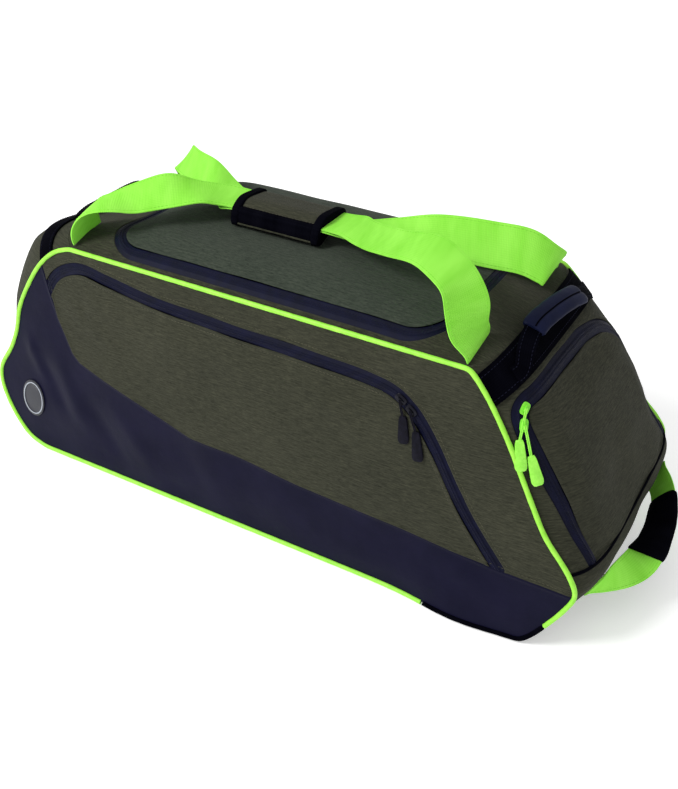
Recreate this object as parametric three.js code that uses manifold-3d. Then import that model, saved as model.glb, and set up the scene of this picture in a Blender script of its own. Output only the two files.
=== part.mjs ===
// A soft cricket kit bag, lying on its base, with its long side along X.
// Millimetres, +Z up. The origin is the middle of the base's flat underside.
// The front panel faces -Y, and the sloping end with the haul loop faces +X.

import * as THREE from 'three';
import { mergeVertices } from 'three/addons/utils/BufferGeometryUtils.js';
import Module from 'manifold-3d';

const wasm = await Module();
wasm.setup();
const { Manifold, Mesh: SolidMesh } = wasm;

// Driving dimensions of the body
const BAG_HALF_LENGTH = 400;
const BAG_HEIGHT = 298;
const BASE_WIDTH = 355;
const TOP_WIDTH = 272;
const FACE_CROWN = 8;
const RIGHT_END_CROWN = 45;
const LEFT_END_CROWN = 48;
const TOP_RISE = 26;
const RIGHT_SHOULDER_RISE = 6;
const LEFT_SHOULDER_RISE = 16;

// Cloth, piping and the clearances between sewn pieces
const CLOTH = 2.2;
const BASE_BOARD = 3;
const PIPING_RADIUS = 2.8;
const PIPING_FLOOR_CLEARANCE = 1.2;
const SEAM_GAP = 0.4;
const REST_GAP = 0.35;
const PLATE_GAP = 0.5;

// Zips and what slides on them
const ZIP_WIDTH = 18;
const SLIDER_LENGTH = 14;
const SLIDER_WIDTH = 9;
const SLIDER_HEIGHT = 4;
const PULL_LENGTH = 34;
const PULL_WIDTH = 13;
const PULL_THICKNESS = 3;
const PULL_TAPER = 0.62;
const PULL_CORD_WIDTH = 2.4;
const PULL_CORD_LENGTH = 20;

// Webbing, handles and sleeves
const WEBBING = 2;
const CARRY_WIDTH = 54;
const WRAP_LENGTH = 122;
const WRAP_CENTRE = -51;
const WRAP_HEIGHT = 348;
const WRAP_PADDING = 8;
const BINDING_LENGTH = 10;
const BINDING_PROUD = 1.2;
const END_WEBBING_WIDTH = 40;
const GRAB_WIDTH = 28;
const GRAB_SLEEVE_PADDING = 5;
const HAUL_WIDTH = 38;
const HAUL_HEIGHT = 62;
const HAUL_REACH = 42;
const HAUL_HALF_SPAN = 118;
const HAUL_PADDING = 6;

// The oval badge on the front
const BADGE_HEIGHT = 52;
const BADGE_WIDTH = 38;
const BADGE_THICKNESS = 1.6;
const BADGE_X = -354;
const BADGE_Z = 75;
const BADGE_SIDES = 20;

// Outline of the long faces: heights are shares of BAG_HEIGHT, the left and right ends
// shares of BAG_HALF_LENGTH, and the crowns shares of each end's own crown.
const outlineRows = [
  { height: 0.00, left: -0.850, right: 0.875, leftCrown: 0.10, rightCrown: 0.12 },
  { height: 0.03, left: -0.918, right: 0.900, leftCrown: 0.15, rightCrown: 0.15 },
  { height: 0.11, left: -0.978, right: 0.942, leftCrown: 0.20, rightCrown: 0.22 },
  { height: 0.20, left: -1.018, right: 0.980, leftCrown: 0.26, rightCrown: 0.30 },
  { height: 0.27, left: -1.034, right: 0.998, leftCrown: 0.32, rightCrown: 0.40 },
  { height: 0.34, left: -1.030, right: 0.972, leftCrown: 0.42, rightCrown: 0.52 },
  { height: 0.46, left: -0.976, right: 0.892, leftCrown: 0.72, rightCrown: 0.80 },
  { height: 0.56, left: -0.946, right: 0.846, leftCrown: 0.90, rightCrown: 0.95 },
  { height: 0.66, left: -0.929, right: 0.803, leftCrown: 1.00, rightCrown: 1.00 },
  { height: 0.78, left: -0.885, right: 0.751, leftCrown: 1.00, rightCrown: 0.95 },
  { height: 0.90, left: -0.824, right: 0.690, leftCrown: 0.92, rightCrown: 0.70 },
  { height: 0.97, left: -0.762, right: 0.646, leftCrown: 0.70, rightCrown: 0.50 },
  { height: 1.00, left: -0.705, right: 0.622, leftCrown: 0.52, rightCrown: 0.42 },
];

// Seam between the olive cloth and the lower tarpaulin on the long faces
const lowerSeamRows = [
  { x: -0.860, height: 1.000 },
  { x: -0.820, height: 0.900 },
  { x: -0.755, height: 0.685 },
  { x: -0.692, height: 0.543 },
  { x: -0.662, height: 0.510 },
  { x: -0.570, height: 0.473 },
  { x: -0.375, height: 0.403 },
  { x: -0.228, height: 0.352 },
  { x: -0.062, height: 0.346 },
  { x: 0.168, height: 0.319 },
  { x: 0.500, height: 0.295 },
  { x: 0.762, height: 0.268 },
  { x: 1.100, height: 0.255 },
];

// Middle line of the front pocket's zip, from its left end to its right end
const pocketZipRows = [
  { x: -0.812, height: 0.745 },
  { x: -0.768, height: 0.856 },
  { x: -0.722, height: 0.903 },
  { x: -0.655, height: 0.929 },
  { x: -0.560, height: 0.916 },
  { x: -0.420, height: 0.892 },
  { x: -0.175, height: 0.876 },
  { x: 0.090, height: 0.869 },
  { x: 0.340, height: 0.856 },
  { x: 0.425, height: 0.836 },
  { x: 0.476, height: 0.795 },
  { x: 0.518, height: 0.742 },
  { x: 0.566, height: 0.661 },
  { x: 0.652, height: 0.486 },
  { x: 0.720, height: 0.372 },
  { x: 0.790, height: 0.262 },
];

// Middle line of the end pocket's zip: sides are shares of the bag's half width there
const endZipRows = [
  { side: -0.925, height: 0.340 },
  { side: -0.925, height: 0.500 },
  { side: -0.925, height: 0.660 },
  { side: -0.920, height: 0.795 },
  { side: -0.860, height: 0.868 },
  { side: -0.700, height: 0.893 },
  { side: -0.350, height: 0.902 },
  { side: 0.000, height: 0.904 },
  { side: 0.350, height: 0.902 },
  { side: 0.700, height: 0.893 },
  { side: 0.860, height: 0.868 },
  { side: 0.920, height: 0.795 },
  { side: 0.925, height: 0.660 },
  { side: 0.925, height: 0.500 },
  { side: 0.925, height: 0.340 },
];

// The lid: ends are shares of BAG_HALF_LENGTH, sides shares of half TOP_WIDTH
const LID = { left: -0.588, right: 0.518, front: -0.890, back: 0.860, corner: 0.330 };

// Carry straps outside their wrap, from the wrap outwards to the foot. Along is a share of
// the way from the wrap's end to the foot, side a share of half TOP_WIDTH, lift a share of
// the wrap's height over the top seam. The last three columns say which way the width runs.
const frontStrapRight = [
  { along: 0.10, side: -0.030, lift: 1.05, wx: -0.10, wy: 0.99, wz: 0.02 },
  { along: 0.24, side: -0.160, lift: 1.12, wx: -0.24, wy: 0.97, wz: 0.02 },
  { along: 0.42, side: -0.290, lift: 1.28, wx: -0.15, wy: 0.98, wz: 0.05 },
  { along: 0.62, side: -0.440, lift: 1.52, wx: -0.10, wy: 0.98, wz: 0.12 },
  { along: 0.76, side: -0.590, lift: 1.54, wx: -0.02, wy: 0.98, wz: 0.12 },
  { along: 0.88, side: -0.735, lift: 1.40, wx: 0.24, wy: 0.96, wz: 0.05 },
  { along: 0.945, side: -0.820, lift: 1.00, wx: 0.52, wy: 0.84, wz: 0.10 },
  { along: 0.965, side: -0.825, lift: 0.52, wx: 0.30, wy: 0.94, wz: 0.03 },
];
const frontStrapLeft = [
  { along: 0.10, side: -0.040, lift: 1.05, wx: -0.15, wy: 0.98, wz: 0.02 },
  { along: 0.26, side: -0.205, lift: 1.20, wx: -0.60, wy: 0.79, wz: 0.10 },
  { along: 0.46, side: -0.400, lift: 1.30, wx: -0.42, wy: 0.72, wz: 0.54 },
  { along: 0.66, side: -0.590, lift: 1.18, wx: -0.62, wy: 0.66, wz: 0.38 },
  { along: 0.77, side: -0.730, lift: 1.08, wx: -0.70, wy: 0.70, wz: 0.05 },
  { along: 0.87, side: -0.765, lift: 1.00, wx: -0.50, wy: 0.86, wz: 0.02 },
  { along: 0.95, side: -0.790, lift: 0.84, wx: -0.22, wy: 0.97, wz: 0.10 },
  { along: 0.99, side: -0.800, lift: 0.60, wx: -0.06, wy: 0.96, wz: 0.24 },
];
const backStrapRight = [
  { along: 0.10, side: 0.030, lift: 0.95, wx: -0.10, wy: 0.99, wz: 0.02 },
  { along: 0.27, side: 0.165, lift: 0.93, wx: -0.30, wy: 0.92, wz: 0.22 },
  { along: 0.48, side: 0.270, lift: 0.96, wx: -0.30, wy: 0.72, wz: 0.60 },
  { along: 0.74, side: 0.400, lift: 0.98, wx: -0.34, wy: 0.56, wz: 0.72 },
  { along: 0.90, side: 0.540, lift: 0.99, wx: -0.24, wy: 0.76, wz: 0.54 },
  { along: 0.98, side: 0.690, lift: 0.84, wx: -0.08, wy: 0.95, wz: 0.16 },
];
const backStrapLeft = [
  { along: 0.10, side: 0.030, lift: 0.95, wx: -0.15, wy: 0.98, wz: 0.02 },
  { along: 0.32, side: 0.220, lift: 1.18, wx: -0.46, wy: 0.86, wz: 0.22 },
  { along: 0.58, side: 0.405, lift: 1.16, wx: -0.40, wy: 0.85, wz: 0.33 },
  { along: 0.80, side: 0.600, lift: 1.12, wx: -0.30, wy: 0.93, wz: 0.16 },
  { along: 0.93, side: 0.730, lift: 0.98, wx: -0.14, wy: 0.98, wz: -0.04 },
  { along: 0.985, side: 0.790, lift: 0.68, wx: -0.02, wy: 0.96, wz: -0.24 },
];

// Grab handles on the shoulders: foot is the share of BAG_HEIGHT where they stand, rise how
// high their middle lifts, spread how much of the table's width they take, and settle how far
// their feet sink towards the webbing where the shoulder is round
const grabHandles = {
  left: { foot: 0.990, rise: 20, spread: 0.70, settle: 1.65 },
  right: { foot: 0.940, rise: 34, spread: 1.00, settle: 0 },
};

// How a grab handle rises: side is a share of the half width, lift of its rise
const grabRows = [
  { side: -0.80, lift: 0.03 },
  { side: -0.72, lift: 0.07 },
  { side: -0.56, lift: 0.52 },
  { side: -0.34, lift: 0.90 },
  { side: 0.00, lift: 1.00 },
  { side: 0.34, lift: 1.00 },
  { side: 0.56, lift: 0.80 },
  { side: 0.72, lift: 0.16 },
  { side: 0.80, lift: 0.03 },
];

// The haul loop: reach is a share of HAUL_REACH, side of HAUL_HALF_SPAN, and lean says how
// much of the end's own slope the webbing takes
const haulRows = [
  { side: -1.00, reach: 0.00, lean: 1.00 },
  { side: -0.92, reach: 0.07, lean: 0.90 },
  { side: -0.80, reach: 0.38, lean: 0.15 },
  { side: -0.67, reach: 0.68, lean: 0.00 },
  { side: -0.52, reach: 0.92, lean: 0.00 },
  { side: -0.30, reach: 0.99, lean: 0.00 },
  { side: 0.00, reach: 1.00, lean: 0.00 },
  { side: 0.30, reach: 0.96, lean: 0.00 },
  { side: 0.58, reach: 0.84, lean: 0.00 },
  { side: 0.70, reach: 0.68, lean: 0.00 },
  { side: 0.81, reach: 0.38, lean: 0.15 },
  { side: 0.92, reach: 0.07, lean: 0.90 },
  { side: 1.00, reach: 0.00, lean: 1.00 },
];

// Sliders and how their pulls hang. Along is a share of the zip's length. Across and ahead say
// where on the slider's edge the cord leaves, and lean how far the pull swings sideways for
// each step down.
const frontSliderRows = [
  { along: 0.713, across: 1, ahead: 0, lean: 0.06 },
  { along: 0.735, across: 1, ahead: 0, lean: 0.18 },
];
const endSliderRows = [
  { along: 0.296, across: -1, ahead: 0, lean: -0.56 },
  { along: 0.242, across: 0, ahead: -1, lean: -0.13 },
];

// How far along its own webbing each padded sleeve starts and stops
const GRAB_SLEEVE = { from: 0.34, to: 0.74 };
const HAUL_GRIP = { from: 0.37, to: 0.76 };

// Powers of the swelling across the ends and the top: the higher, the flatter the middle
const END_ROUNDNESS = 6;
const TOP_ROUNDNESS = 6;
const TOP_END_ROUNDNESS = 5;

// Numbers of facets
const FACE_COLUMNS = 14;
const FACE_ROWS = 7;
const TOP_COLUMNS = 12;
const TOP_ROWS = 10;
const END_COLUMNS = 10;
const END_ROWS = 10;
const PIPING_SIDES = 6;
const SLEEVE_SIDES = 12;
const STRAP_STEPS = 3;
const MOST_STRETCH = 1.25;
const CUT_REACH = 900;
const FACE_MARGIN = 25;

const lerp = THREE.MathUtils.lerp;
const clamp = THREE.MathUtils.clamp;

const slots = {
  olive: { color: 0x4a483c, roughness: 0.85, metalness: 0 },
  tarpaulin: { color: 0x20203a, roughness: 0.55, metalness: 0 },
  base: { color: 0x121218, roughness: 0.6, metalness: 0 },
  zip: { color: 0x10122a, roughness: 0.6, metalness: 0 },
  piping: { color: 0xa5f03c, roughness: 0.55, metalness: 0 },
  lime: { color: 0xa0f55a, roughness: 0.75, metalness: 0 },
  black: { color: 0x0a0a14, roughness: 0.8, metalness: 0 },
  sleeve: { color: 0x32374f, roughness: 0.6, metalness: 0 },
  slider: { color: 0x15151c, roughness: 0.35, metalness: 0.6 },
  limeSlider: { color: 0x8be03a, roughness: 0.4, metalness: 0.2 },
  rubber: { color: 0x101014, roughness: 0.6, metalness: 0 },
  limeRubber: { color: 0x9af050, roughness: 0.6, metalness: 0 },
  badge: { color: 0x24242c, roughness: 0.5, metalness: 0 },
};

const group = new THREE.Group();

// Adds one named piece in one material
function piece(name, slot, geometry) {
  const mesh = new THREE.Mesh(geometry, new THREE.MeshStandardMaterial(slots[slot]));
  mesh.name = name;
  group.add(mesh);
}

// A table column as a smooth function of another column
function column(rows, input, output) {
  return (value) => {
    const last = rows.length - 1;
    const inside = clamp(value, rows[0][input], rows[last][input]);
    let index = 0;
    while (index < last - 1 && rows[index + 1][input] < inside) {
      index += 1;
    }
    const from = rows[index];
    const to = rows[index + 1];
    return lerp(from[output], to[output], (inside - from[input]) / (to[input] - from[input]));
  };
}

// Bag outline

const OUTLINE_FLOOR = PIPING_RADIUS + PIPING_FLOOR_CLEARANCE;
const EDGE_INSET = PIPING_RADIUS + SEAM_GAP;

function heightAt(share) {
  return lerp(OUTLINE_FLOOR, BAG_HEIGHT, share);
}

function shareOfHeight(z) {
  return (z - OUTLINE_FLOOR) / (BAG_HEIGHT - OUTLINE_FLOOR);
}

function halfWidthAt(z) {
  return lerp(BASE_WIDTH / 2, TOP_WIDTH / 2, shareOfHeight(z));
}

const END_SAMPLES = 20;

// One end of the outline as points from the floor to the top, smoothed
function endLine(end) {
  const points = outlineRows.map(
    (row) => new THREE.Vector3(row[end] * BAG_HALF_LENGTH, 0, heightAt(row.height)),
  );
  return new THREE.CatmullRomCurve3(points, false, 'centripetal').getPoints(END_SAMPLES);
}

// The same end moved in by the room that the piping takes
function insetEndLine(end) {
  const line = endLine(end);
  const inward = end === 'left' ? 1 : -1;
  return line.map((point, index) => {
    const before = line[Math.max(index - 1, 0)];
    const after = line[Math.min(index + 1, line.length - 1)];
    const along = after.clone().sub(before).normalize();
    const across = new THREE.Vector3(inward * along.z, 0, -inward * along.x);
    return point.clone().addScaledVector(across, EDGE_INSET);
  });
}

function lineX(line, z) {
  let index = 0;
  while (index < line.length - 2 && line[index + 1].z < z) {
    index += 1;
  }
  const from = line[index];
  const to = line[index + 1];
  return lerp(from.x, to.x, clamp((z - from.z) / (to.z - from.z), 0, 1));
}

const ends = {
  left: { line: endLine('left'), inset: insetEndLine('left'), out: -1, crown: LEFT_END_CROWN },
  right: { line: endLine('right'), inset: insetEndLine('right'), out: 1, crown: RIGHT_END_CROWN },
};
const crownShare = {
  left: column(outlineRows, 'height', 'leftCrown'),
  right: column(outlineRows, 'height', 'rightCrown'),
};

const FACE_LOW = OUTLINE_FLOOR + EDGE_INSET;
const FACE_HIGH = BAG_HEIGHT - EDGE_INSET;

// A point of a long face: side is -1 on the front and 1 on the back
function facePoint(side, x, z, proud = 0) {
  const left = lineX(ends.left.inset, z);
  const right = lineX(ends.right.inset, z);
  const along = clamp((x - left) / (right - left), 0, 1);
  const up = clamp((z - FACE_LOW) / (FACE_HIGH - FACE_LOW), 0, 1);
  const swell = Math.sin(Math.PI * along) ** 0.6 * Math.sin(Math.PI * up) ** 0.8;
  return new THREE.Vector3(x, side * (halfWidthAt(z) + FACE_CROWN * swell + proud), z);
}

// How far an end's middle stands out of the line between its two pipings
function endBulge(end, share, side) {
  return ends[end].crown * crownShare[end](share) * (1 - Math.abs(side) ** END_ROUNDNESS);
}

const shoulderRise = { left: LEFT_SHOULDER_RISE, right: RIGHT_SHOULDER_RISE };

// A point of an end: side runs from -1 at the front piping to 1 at the back piping
function endPoint(end, side, share) {
  const z = heightAt(share);
  const lift = shoulderRise[end] * (1 - side ** 4) * THREE.MathUtils.smoothstep(share, 0.6, 1);
  return new THREE.Vector3(
    lineX(ends[end].line, z) + ends[end].out * endBulge(end, share, side),
    side * (halfWidthAt(z) - EDGE_INSET),
    z + lift,
  );
}

// A point of the top: along runs from 0 at the left shoulder to 1 at the right shoulder
const TOP_INSET = CLOTH + SEAM_GAP;

function topPoint(along, side) {
  const left = endPoint('left', side, 1);
  const right = endPoint('right', side, 1);
  const rim = Math.abs(2 * along - 1) ** TOP_END_ROUNDNESS;
  const dome = (1 - rim) * (1 - Math.abs(side) ** TOP_ROUNDNESS);
  return new THREE.Vector3(
    lerp(left.x + TOP_INSET, right.x - TOP_INSET, along),
    side * (TOP_WIDTH / 2 - EDGE_INSET),
    BAG_HEIGHT + rim * (lerp(left.z, right.z, along) - BAG_HEIGHT) + TOP_RISE * dome,
  );
}

// Closed solids

// A way from -1 to 1 with its steps crowded towards both ends, where the cloth bends most
function crowded(share) {
  return Math.sin(Math.PI * (share - 0.5));
}

// Turns the faces out where they point in
function facingOut(positions, indices) {
  const geometry = new THREE.BufferGeometry();
  geometry.setAttribute('position', new THREE.Float32BufferAttribute(positions, 3));
  let volume = 0;
  const a = new THREE.Vector3();
  const b = new THREE.Vector3();
  const c = new THREE.Vector3();
  for (let index = 0; index < indices.length; index += 3) {
    a.fromArray(positions, 3 * indices[index]);
    b.fromArray(positions, 3 * indices[index + 1]);
    c.fromArray(positions, 3 * indices[index + 2]);
    volume += a.dot(b.cross(c));
  }
  geometry.setIndex(volume > 0 ? indices : indices.slice().reverse());
  return geometry;
}

// A curved sheet of cloth: surface gives its outer face, and outward roughly where that looks.
// Proud lifts the whole sheet off that face.
function sheet(surface, columns, rows, thickness, outward, proud = 0) {
  const outer = [];
  const inner = [];
  const step = 1e-3;
  for (let row = 0; row <= rows; row += 1) {
    for (let index = 0; index <= columns; index += 1) {
      const u = index / columns;
      const v = row / rows;
      const point = surface(u, v);
      const alongU = surface(Math.min(u + step, 1), v).sub(surface(Math.max(u - step, 0), v));
      const alongV = surface(u, Math.min(v + step, 1)).sub(surface(u, Math.max(v - step, 0)));
      const normal = alongU.cross(alongV).normalize();
      if (normal.dot(outward) < 0) {
        normal.negate();
      }
      outer.push(point.clone().addScaledVector(normal, proud));
      inner.push(point.clone().addScaledVector(normal, proud - thickness));
    }
  }
  const positions = [...outer, ...inner].flatMap((point) => point.toArray());
  const layer = outer.length;
  const width = columns + 1;
  const indices = [];
  const quad = (a, b, c, d) => indices.push(a, b, c, a, c, d);
  for (let row = 0; row < rows; row += 1) {
    for (let index = 0; index < columns; index += 1) {
      const a = row * width + index;
      quad(a, a + 1, a + width + 1, a + width);
      quad(layer + a, layer + a + width, layer + a + width + 1, layer + a + 1);
    }
  }
  for (let index = 0; index < columns; index += 1) {
    const top = rows * width + index;
    quad(index + 1, index, layer + index, layer + index + 1);
    quad(top, top + 1, layer + top + 1, layer + top);
  }
  for (let row = 0; row < rows; row += 1) {
    const a = row * width;
    const b = a + columns;
    quad(a, a + width, layer + a + width, layer + a);
    quad(b + width, b, layer + b, layer + b + width);
  }
  return facingOut(positions, indices);
}

// A section of [across, out] pairs carried along frames of centre, across and out. Both sides
// of a thin section are split along the same way, so that a twisted strip keeps its thickness.
function sweep(frames, section, closed = false) {
  const count = section.length;
  const positions = [];
  for (const frame of frames) {
    for (const [across, out] of section) {
      const point = frame.centre.clone();
      point.addScaledVector(frame.across, across).addScaledVector(frame.out, out);
      positions.push(...point.toArray());
    }
  }
  const indices = [];
  const rings = closed ? frames.length : frames.length - 1;
  for (let ring = 0; ring < rings; ring += 1) {
    const here = ring * count;
    const next = ((ring + 1) % frames.length) * count;
    for (let index = 0; index < count; index += 1) {
      const after = (index + 1) % count;
      const [a, b, c, d] = [here + index, here + after, next + after, next + index];
      if (index < count / 2) {
        indices.push(a, b, c, a, c, d);
      } else {
        indices.push(a, b, d, b, c, d);
      }
    }
  }
  if (!closed) {
    const last = (frames.length - 1) * count;
    for (let index = 1; index < count - 1; index += 1) {
      indices.push(0, index + 1, index, last, last + index, last + index + 1);
    }
  }
  return facingOut(positions, indices);
}

// Frames along centres, with the width direction given at each
function framesFrom(centres, widths, closed = false) {
  const count = centres.length;
  return centres.map((centre, index) => {
    const before = closed ? centres[(index + count - 1) % count] : centres[Math.max(index - 1, 0)];
    const after = closed ? centres[(index + 1) % count] : centres[Math.min(index + 1, count - 1)];
    const along = after.clone().sub(before).normalize();
    const across = widths[index].clone().addScaledVector(along, -widths[index].dot(along)).normalize();
    return { centre, across, out: along.clone().cross(across).normalize() };
  });
}

// The same, but the width keeps its slant to the path, as in a strip that folds obliquely
function slantedFrames(centres, widths) {
  return framesFrom(centres, widths).map((frame, index) => {
    const along = frame.across.clone().cross(frame.out);
    const across = widths[index].clone().normalize();
    const slant = across.dot(along);
    across.multiplyScalar(Math.min(MOST_STRETCH, 1 / Math.sqrt(1 - slant * slant)));
    return { centre: frame.centre, across, out: frame.out };
  });
}

function smooth(points, steps) {
  return new THREE.CatmullRomCurve3(points, false, 'centripetal').getPoints(steps);
}

function stripSection(width, thickness) {
  return [
    [-width / 2, -thickness / 2],
    [width / 2, -thickness / 2],
    [width / 2, thickness / 2],
    [-width / 2, thickness / 2],
  ];
}

function roundSection(halfWidth, halfThickness, sides, squareness) {
  return Array.from({ length: sides }, (_, index) => {
    const angle = (2 * Math.PI * index) / sides;
    const bend = (value) => Math.sign(value) * Math.abs(value) ** (2 / squareness);
    return [halfWidth * bend(Math.cos(angle)), halfThickness * bend(Math.sin(angle))];
  });
}

function toSolid(geometry) {
  const bare = geometry.clone();
  bare.deleteAttribute('normal');
  bare.deleteAttribute('uv');
  const merged = mergeVertices(bare, 1e-4);
  return new Manifold(new SolidMesh({
    numProp: 3,
    vertProperties: new Float32Array(merged.attributes.position.array),
    triVerts: new Uint32Array(merged.index.array),
  }));
}

function toGeometry(solid) {
  const mesh = solid.getMesh();
  const geometry = new THREE.BufferGeometry();
  geometry.setAttribute('position', new THREE.Float32BufferAttribute(mesh.vertProperties, 3));
  geometry.setIndex(new THREE.Uint32BufferAttribute(mesh.triVerts, 1));
  return geometry;
}

// A straight cutter over an outline of pairs, along the named axis. It spans from one
// reach to the other, and the pairs are (x, z) along Y, (x, y) along Z and (y, z) along X.
const placements = {
  x: new THREE.Matrix4().set(0, 0, 1, 0, 1, 0, 0, 0, 0, 1, 0, 0, 0, 0, 0, 1),
  y: new THREE.Matrix4().set(1, 0, 0, 0, 0, 0, -1, 0, 0, 1, 0, 0, 0, 0, 0, 1),
  z: new THREE.Matrix4(),
};

function cutter(outline, axis, from, to) {
  const shape = new THREE.Shape(outline.map(([a, b]) => new THREE.Vector2(a, b)));
  const geometry = new THREE.ExtrudeGeometry(shape, { depth: to - from, bevelEnabled: false });
  geometry.translate(0, 0, from);
  geometry.applyMatrix4(placements[axis]);
  return toSolid(geometry);
}

// A line of pairs moved sideways, to its left for a positive distance
function offsetLine(line, distance) {
  return line.map(([a, b], index) => {
    const before = line[Math.max(index - 1, 0)];
    const after = line[Math.min(index + 1, line.length - 1)];
    const run = Math.hypot(after[0] - before[0], after[1] - before[1]);
    return [
      a - (distance * (after[1] - before[1])) / run,
      b + (distance * (after[0] - before[0])) / run,
    ];
  });
}

// The long faces: an upper cloth, a lower tarpaulin and, in front, a pocket

const lowerSeam = lowerSeamRows.map((row) => [row.x * BAG_HALF_LENGTH, heightAt(row.height)]);

function belowSeam(gap) {
  const line = offsetLine(lowerSeam, gap);
  const left = line[0][0] - BAG_HALF_LENGTH;
  const right = line[line.length - 1][0] + BAG_HALF_LENGTH;
  return [[left, -BAG_HEIGHT], [right, -BAG_HEIGHT], [right, line[line.length - 1][1]],
    ...line.slice().reverse(), [left, line[0][1]]];
}

// The ground inside the piping, as (x, z) pairs
function faceOutline() {
  const pairs = (line) => line
    .filter((point) => point.z > FACE_LOW && point.z < FACE_HIGH)
    .map((point) => [point.x, point.z]);
  const corner = (end, z) => [lineX(ends[end].inset, z), z];
  return [
    corner('right', FACE_LOW),
    ...pairs(ends.right.inset),
    corner('right', FACE_HIGH),
    corner('left', FACE_HIGH),
    ...pairs(ends.left.inset).reverse(),
    corner('left', FACE_LOW),
  ];
}

// A cloth over a long face, cut to the ground inside the piping
function faceSheet(side, thickness, proud = 0) {
  const surface = (u, v) => {
    const z = lerp(FACE_LOW - CLOTH, FACE_HIGH + CLOTH, v);
    const left = lineX(ends.left.line, z) - FACE_MARGIN;
    const right = lineX(ends.right.line, z) + FACE_MARGIN;
    return facePoint(side, lerp(left, right, u), z, proud);
  };
  const cloth = sheet(surface, FACE_COLUMNS, FACE_ROWS, thickness, new THREE.Vector3(0, side, 0));
  return toSolid(cloth).intersect(cutter(faceOutline(), 'y', -CUT_REACH, CUT_REACH));
}

const pocketZip = smooth(
  pocketZipRows.map((row) => new THREE.Vector3(row.x * BAG_HALF_LENGTH, 0, heightAt(row.height))),
  36,
).map((point) => [point.x, point.z]);

// The ground that a pocket covers inside its zip line, shrunk or grown by a distance
function insideLine(line, distance, floor) {
  const moved = offsetLine(line, distance);
  return [[moved[0][0], floor], ...moved, [moved[moved.length - 1][0], floor]].reverse();
}

const frontCloth = faceSheet(-1, CLOTH);
const frontLower = frontCloth.intersect(cutter(belowSeam(-SEAM_GAP / 2), 'y', -CUT_REACH, CUT_REACH));
const frontUpper = frontCloth.subtract(cutter(belowSeam(SEAM_GAP / 2), 'y', -CUT_REACH, CUT_REACH));
const pocketOuter = cutter(insideLine(pocketZip, ZIP_WIDTH / 2, -BAG_HEIGHT), 'y', -CUT_REACH, CUT_REACH);
const pocketInner = cutter(insideLine(pocketZip, -ZIP_WIDTH / 2, -BAG_HEIGHT), 'y', -CUT_REACH, CUT_REACH);
const borderCut = cutter(
  insideLine(pocketZip, ZIP_WIDTH / 2 + SEAM_GAP, -BAG_HEIGHT), 'y', -CUT_REACH, CUT_REACH,
);
const pocketCut = cutter(
  insideLine(pocketZip, -ZIP_WIDTH / 2 - SEAM_GAP, -BAG_HEIGHT), 'y', -CUT_REACH, CUT_REACH,
);

piece('front_lower_panel', 'tarpaulin', toGeometry(frontLower));
piece('front_border_panel', 'olive', toGeometry(frontUpper.subtract(borderCut)));
piece('front_pocket_panel', 'olive', toGeometry(frontUpper.intersect(pocketCut)));
piece('front_pocket_zip', 'zip', toGeometry(frontUpper.intersect(pocketOuter).subtract(pocketInner)));

const backCloth = faceSheet(1, CLOTH);
const backLowerCut = cutter(belowSeam(-SEAM_GAP / 2), 'y', -CUT_REACH, CUT_REACH);
const backUpperCut = cutter(belowSeam(SEAM_GAP / 2), 'y', -CUT_REACH, CUT_REACH);
piece('back_lower_panel', 'tarpaulin', toGeometry(backCloth.intersect(backLowerCut)));
piece('back_upper_panel', 'olive', toGeometry(backCloth.subtract(backUpperCut)));

// The top: a surround with the lid, which opens along a zip on three sides

const lidLeft = LID.left * BAG_HALF_LENGTH;
const lidRight = LID.right * BAG_HALF_LENGTH;
const lidFront = (LID.front * TOP_WIDTH) / 2;
const lidBack = (LID.back * TOP_WIDTH) / 2;
const lidCorner = (LID.corner * TOP_WIDTH) / 2;
const CORNER_STEPS = 5;

// The lid's outline in plan, moved out by a distance, from its back left corner
function lidOutline(distance, back) {
  const corner = lidCorner + distance;
  const arc = (x, y, start) => Array.from({ length: CORNER_STEPS + 1 }, (_, index) => {
    const angle = start + (index / CORNER_STEPS) * (Math.PI / 2);
    return [x + corner * Math.cos(angle), y + corner * Math.sin(angle)];
  });
  return [
    [lidLeft - distance, back],
    ...arc(lidLeft + lidCorner, lidFront + lidCorner, Math.PI),
    ...arc(lidRight - lidCorner, lidFront + lidCorner, 1.5 * Math.PI),
    [lidRight + distance, back],
  ];
}

function lidCutter(distance, back) {
  return cutter(lidOutline(distance, back), 'z', -CUT_REACH, CUT_REACH);
}

const topSurface = (u, v) => topPoint(u, crowded(v));
const topSheet = toSolid(sheet(topSurface, TOP_COLUMNS, TOP_ROWS, CLOTH, new THREE.Vector3(0, 0, 1)));
const lidZipOuter = lidCutter(ZIP_WIDTH / 2, lidBack);
const lidZipInner = lidCutter(-ZIP_WIDTH / 2, CUT_REACH);
const lidHole = lidCutter(ZIP_WIDTH / 2 + SEAM_GAP, lidBack + SEAM_GAP);
piece('top_panel', 'olive', toGeometry(topSheet.subtract(lidHole)));
piece('lid_zip', 'zip', toGeometry(topSheet.intersect(lidZipOuter).subtract(lidZipInner)));
piece('lid_panel', 'olive', toGeometry(topSheet.intersect(lidCutter(-ZIP_WIDTH / 2 - SEAM_GAP, lidBack))));

// The ends: a plain one on the left and one with a zipped pocket on the right

const END_LOW = shareOfHeight(BASE_BOARD + SEAM_GAP);

function endSheet(end, thickness, proud = 0) {
  const surface = (u, v) => endPoint(end, crowded(u), lerp(END_LOW, 1, v));
  const outward = new THREE.Vector3(ends[end].out, 0, 0);
  return sheet(surface, END_COLUMNS, END_ROWS, thickness, outward, proud);
}

piece('left_end_panel', 'olive', endSheet('left', CLOTH));

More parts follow.
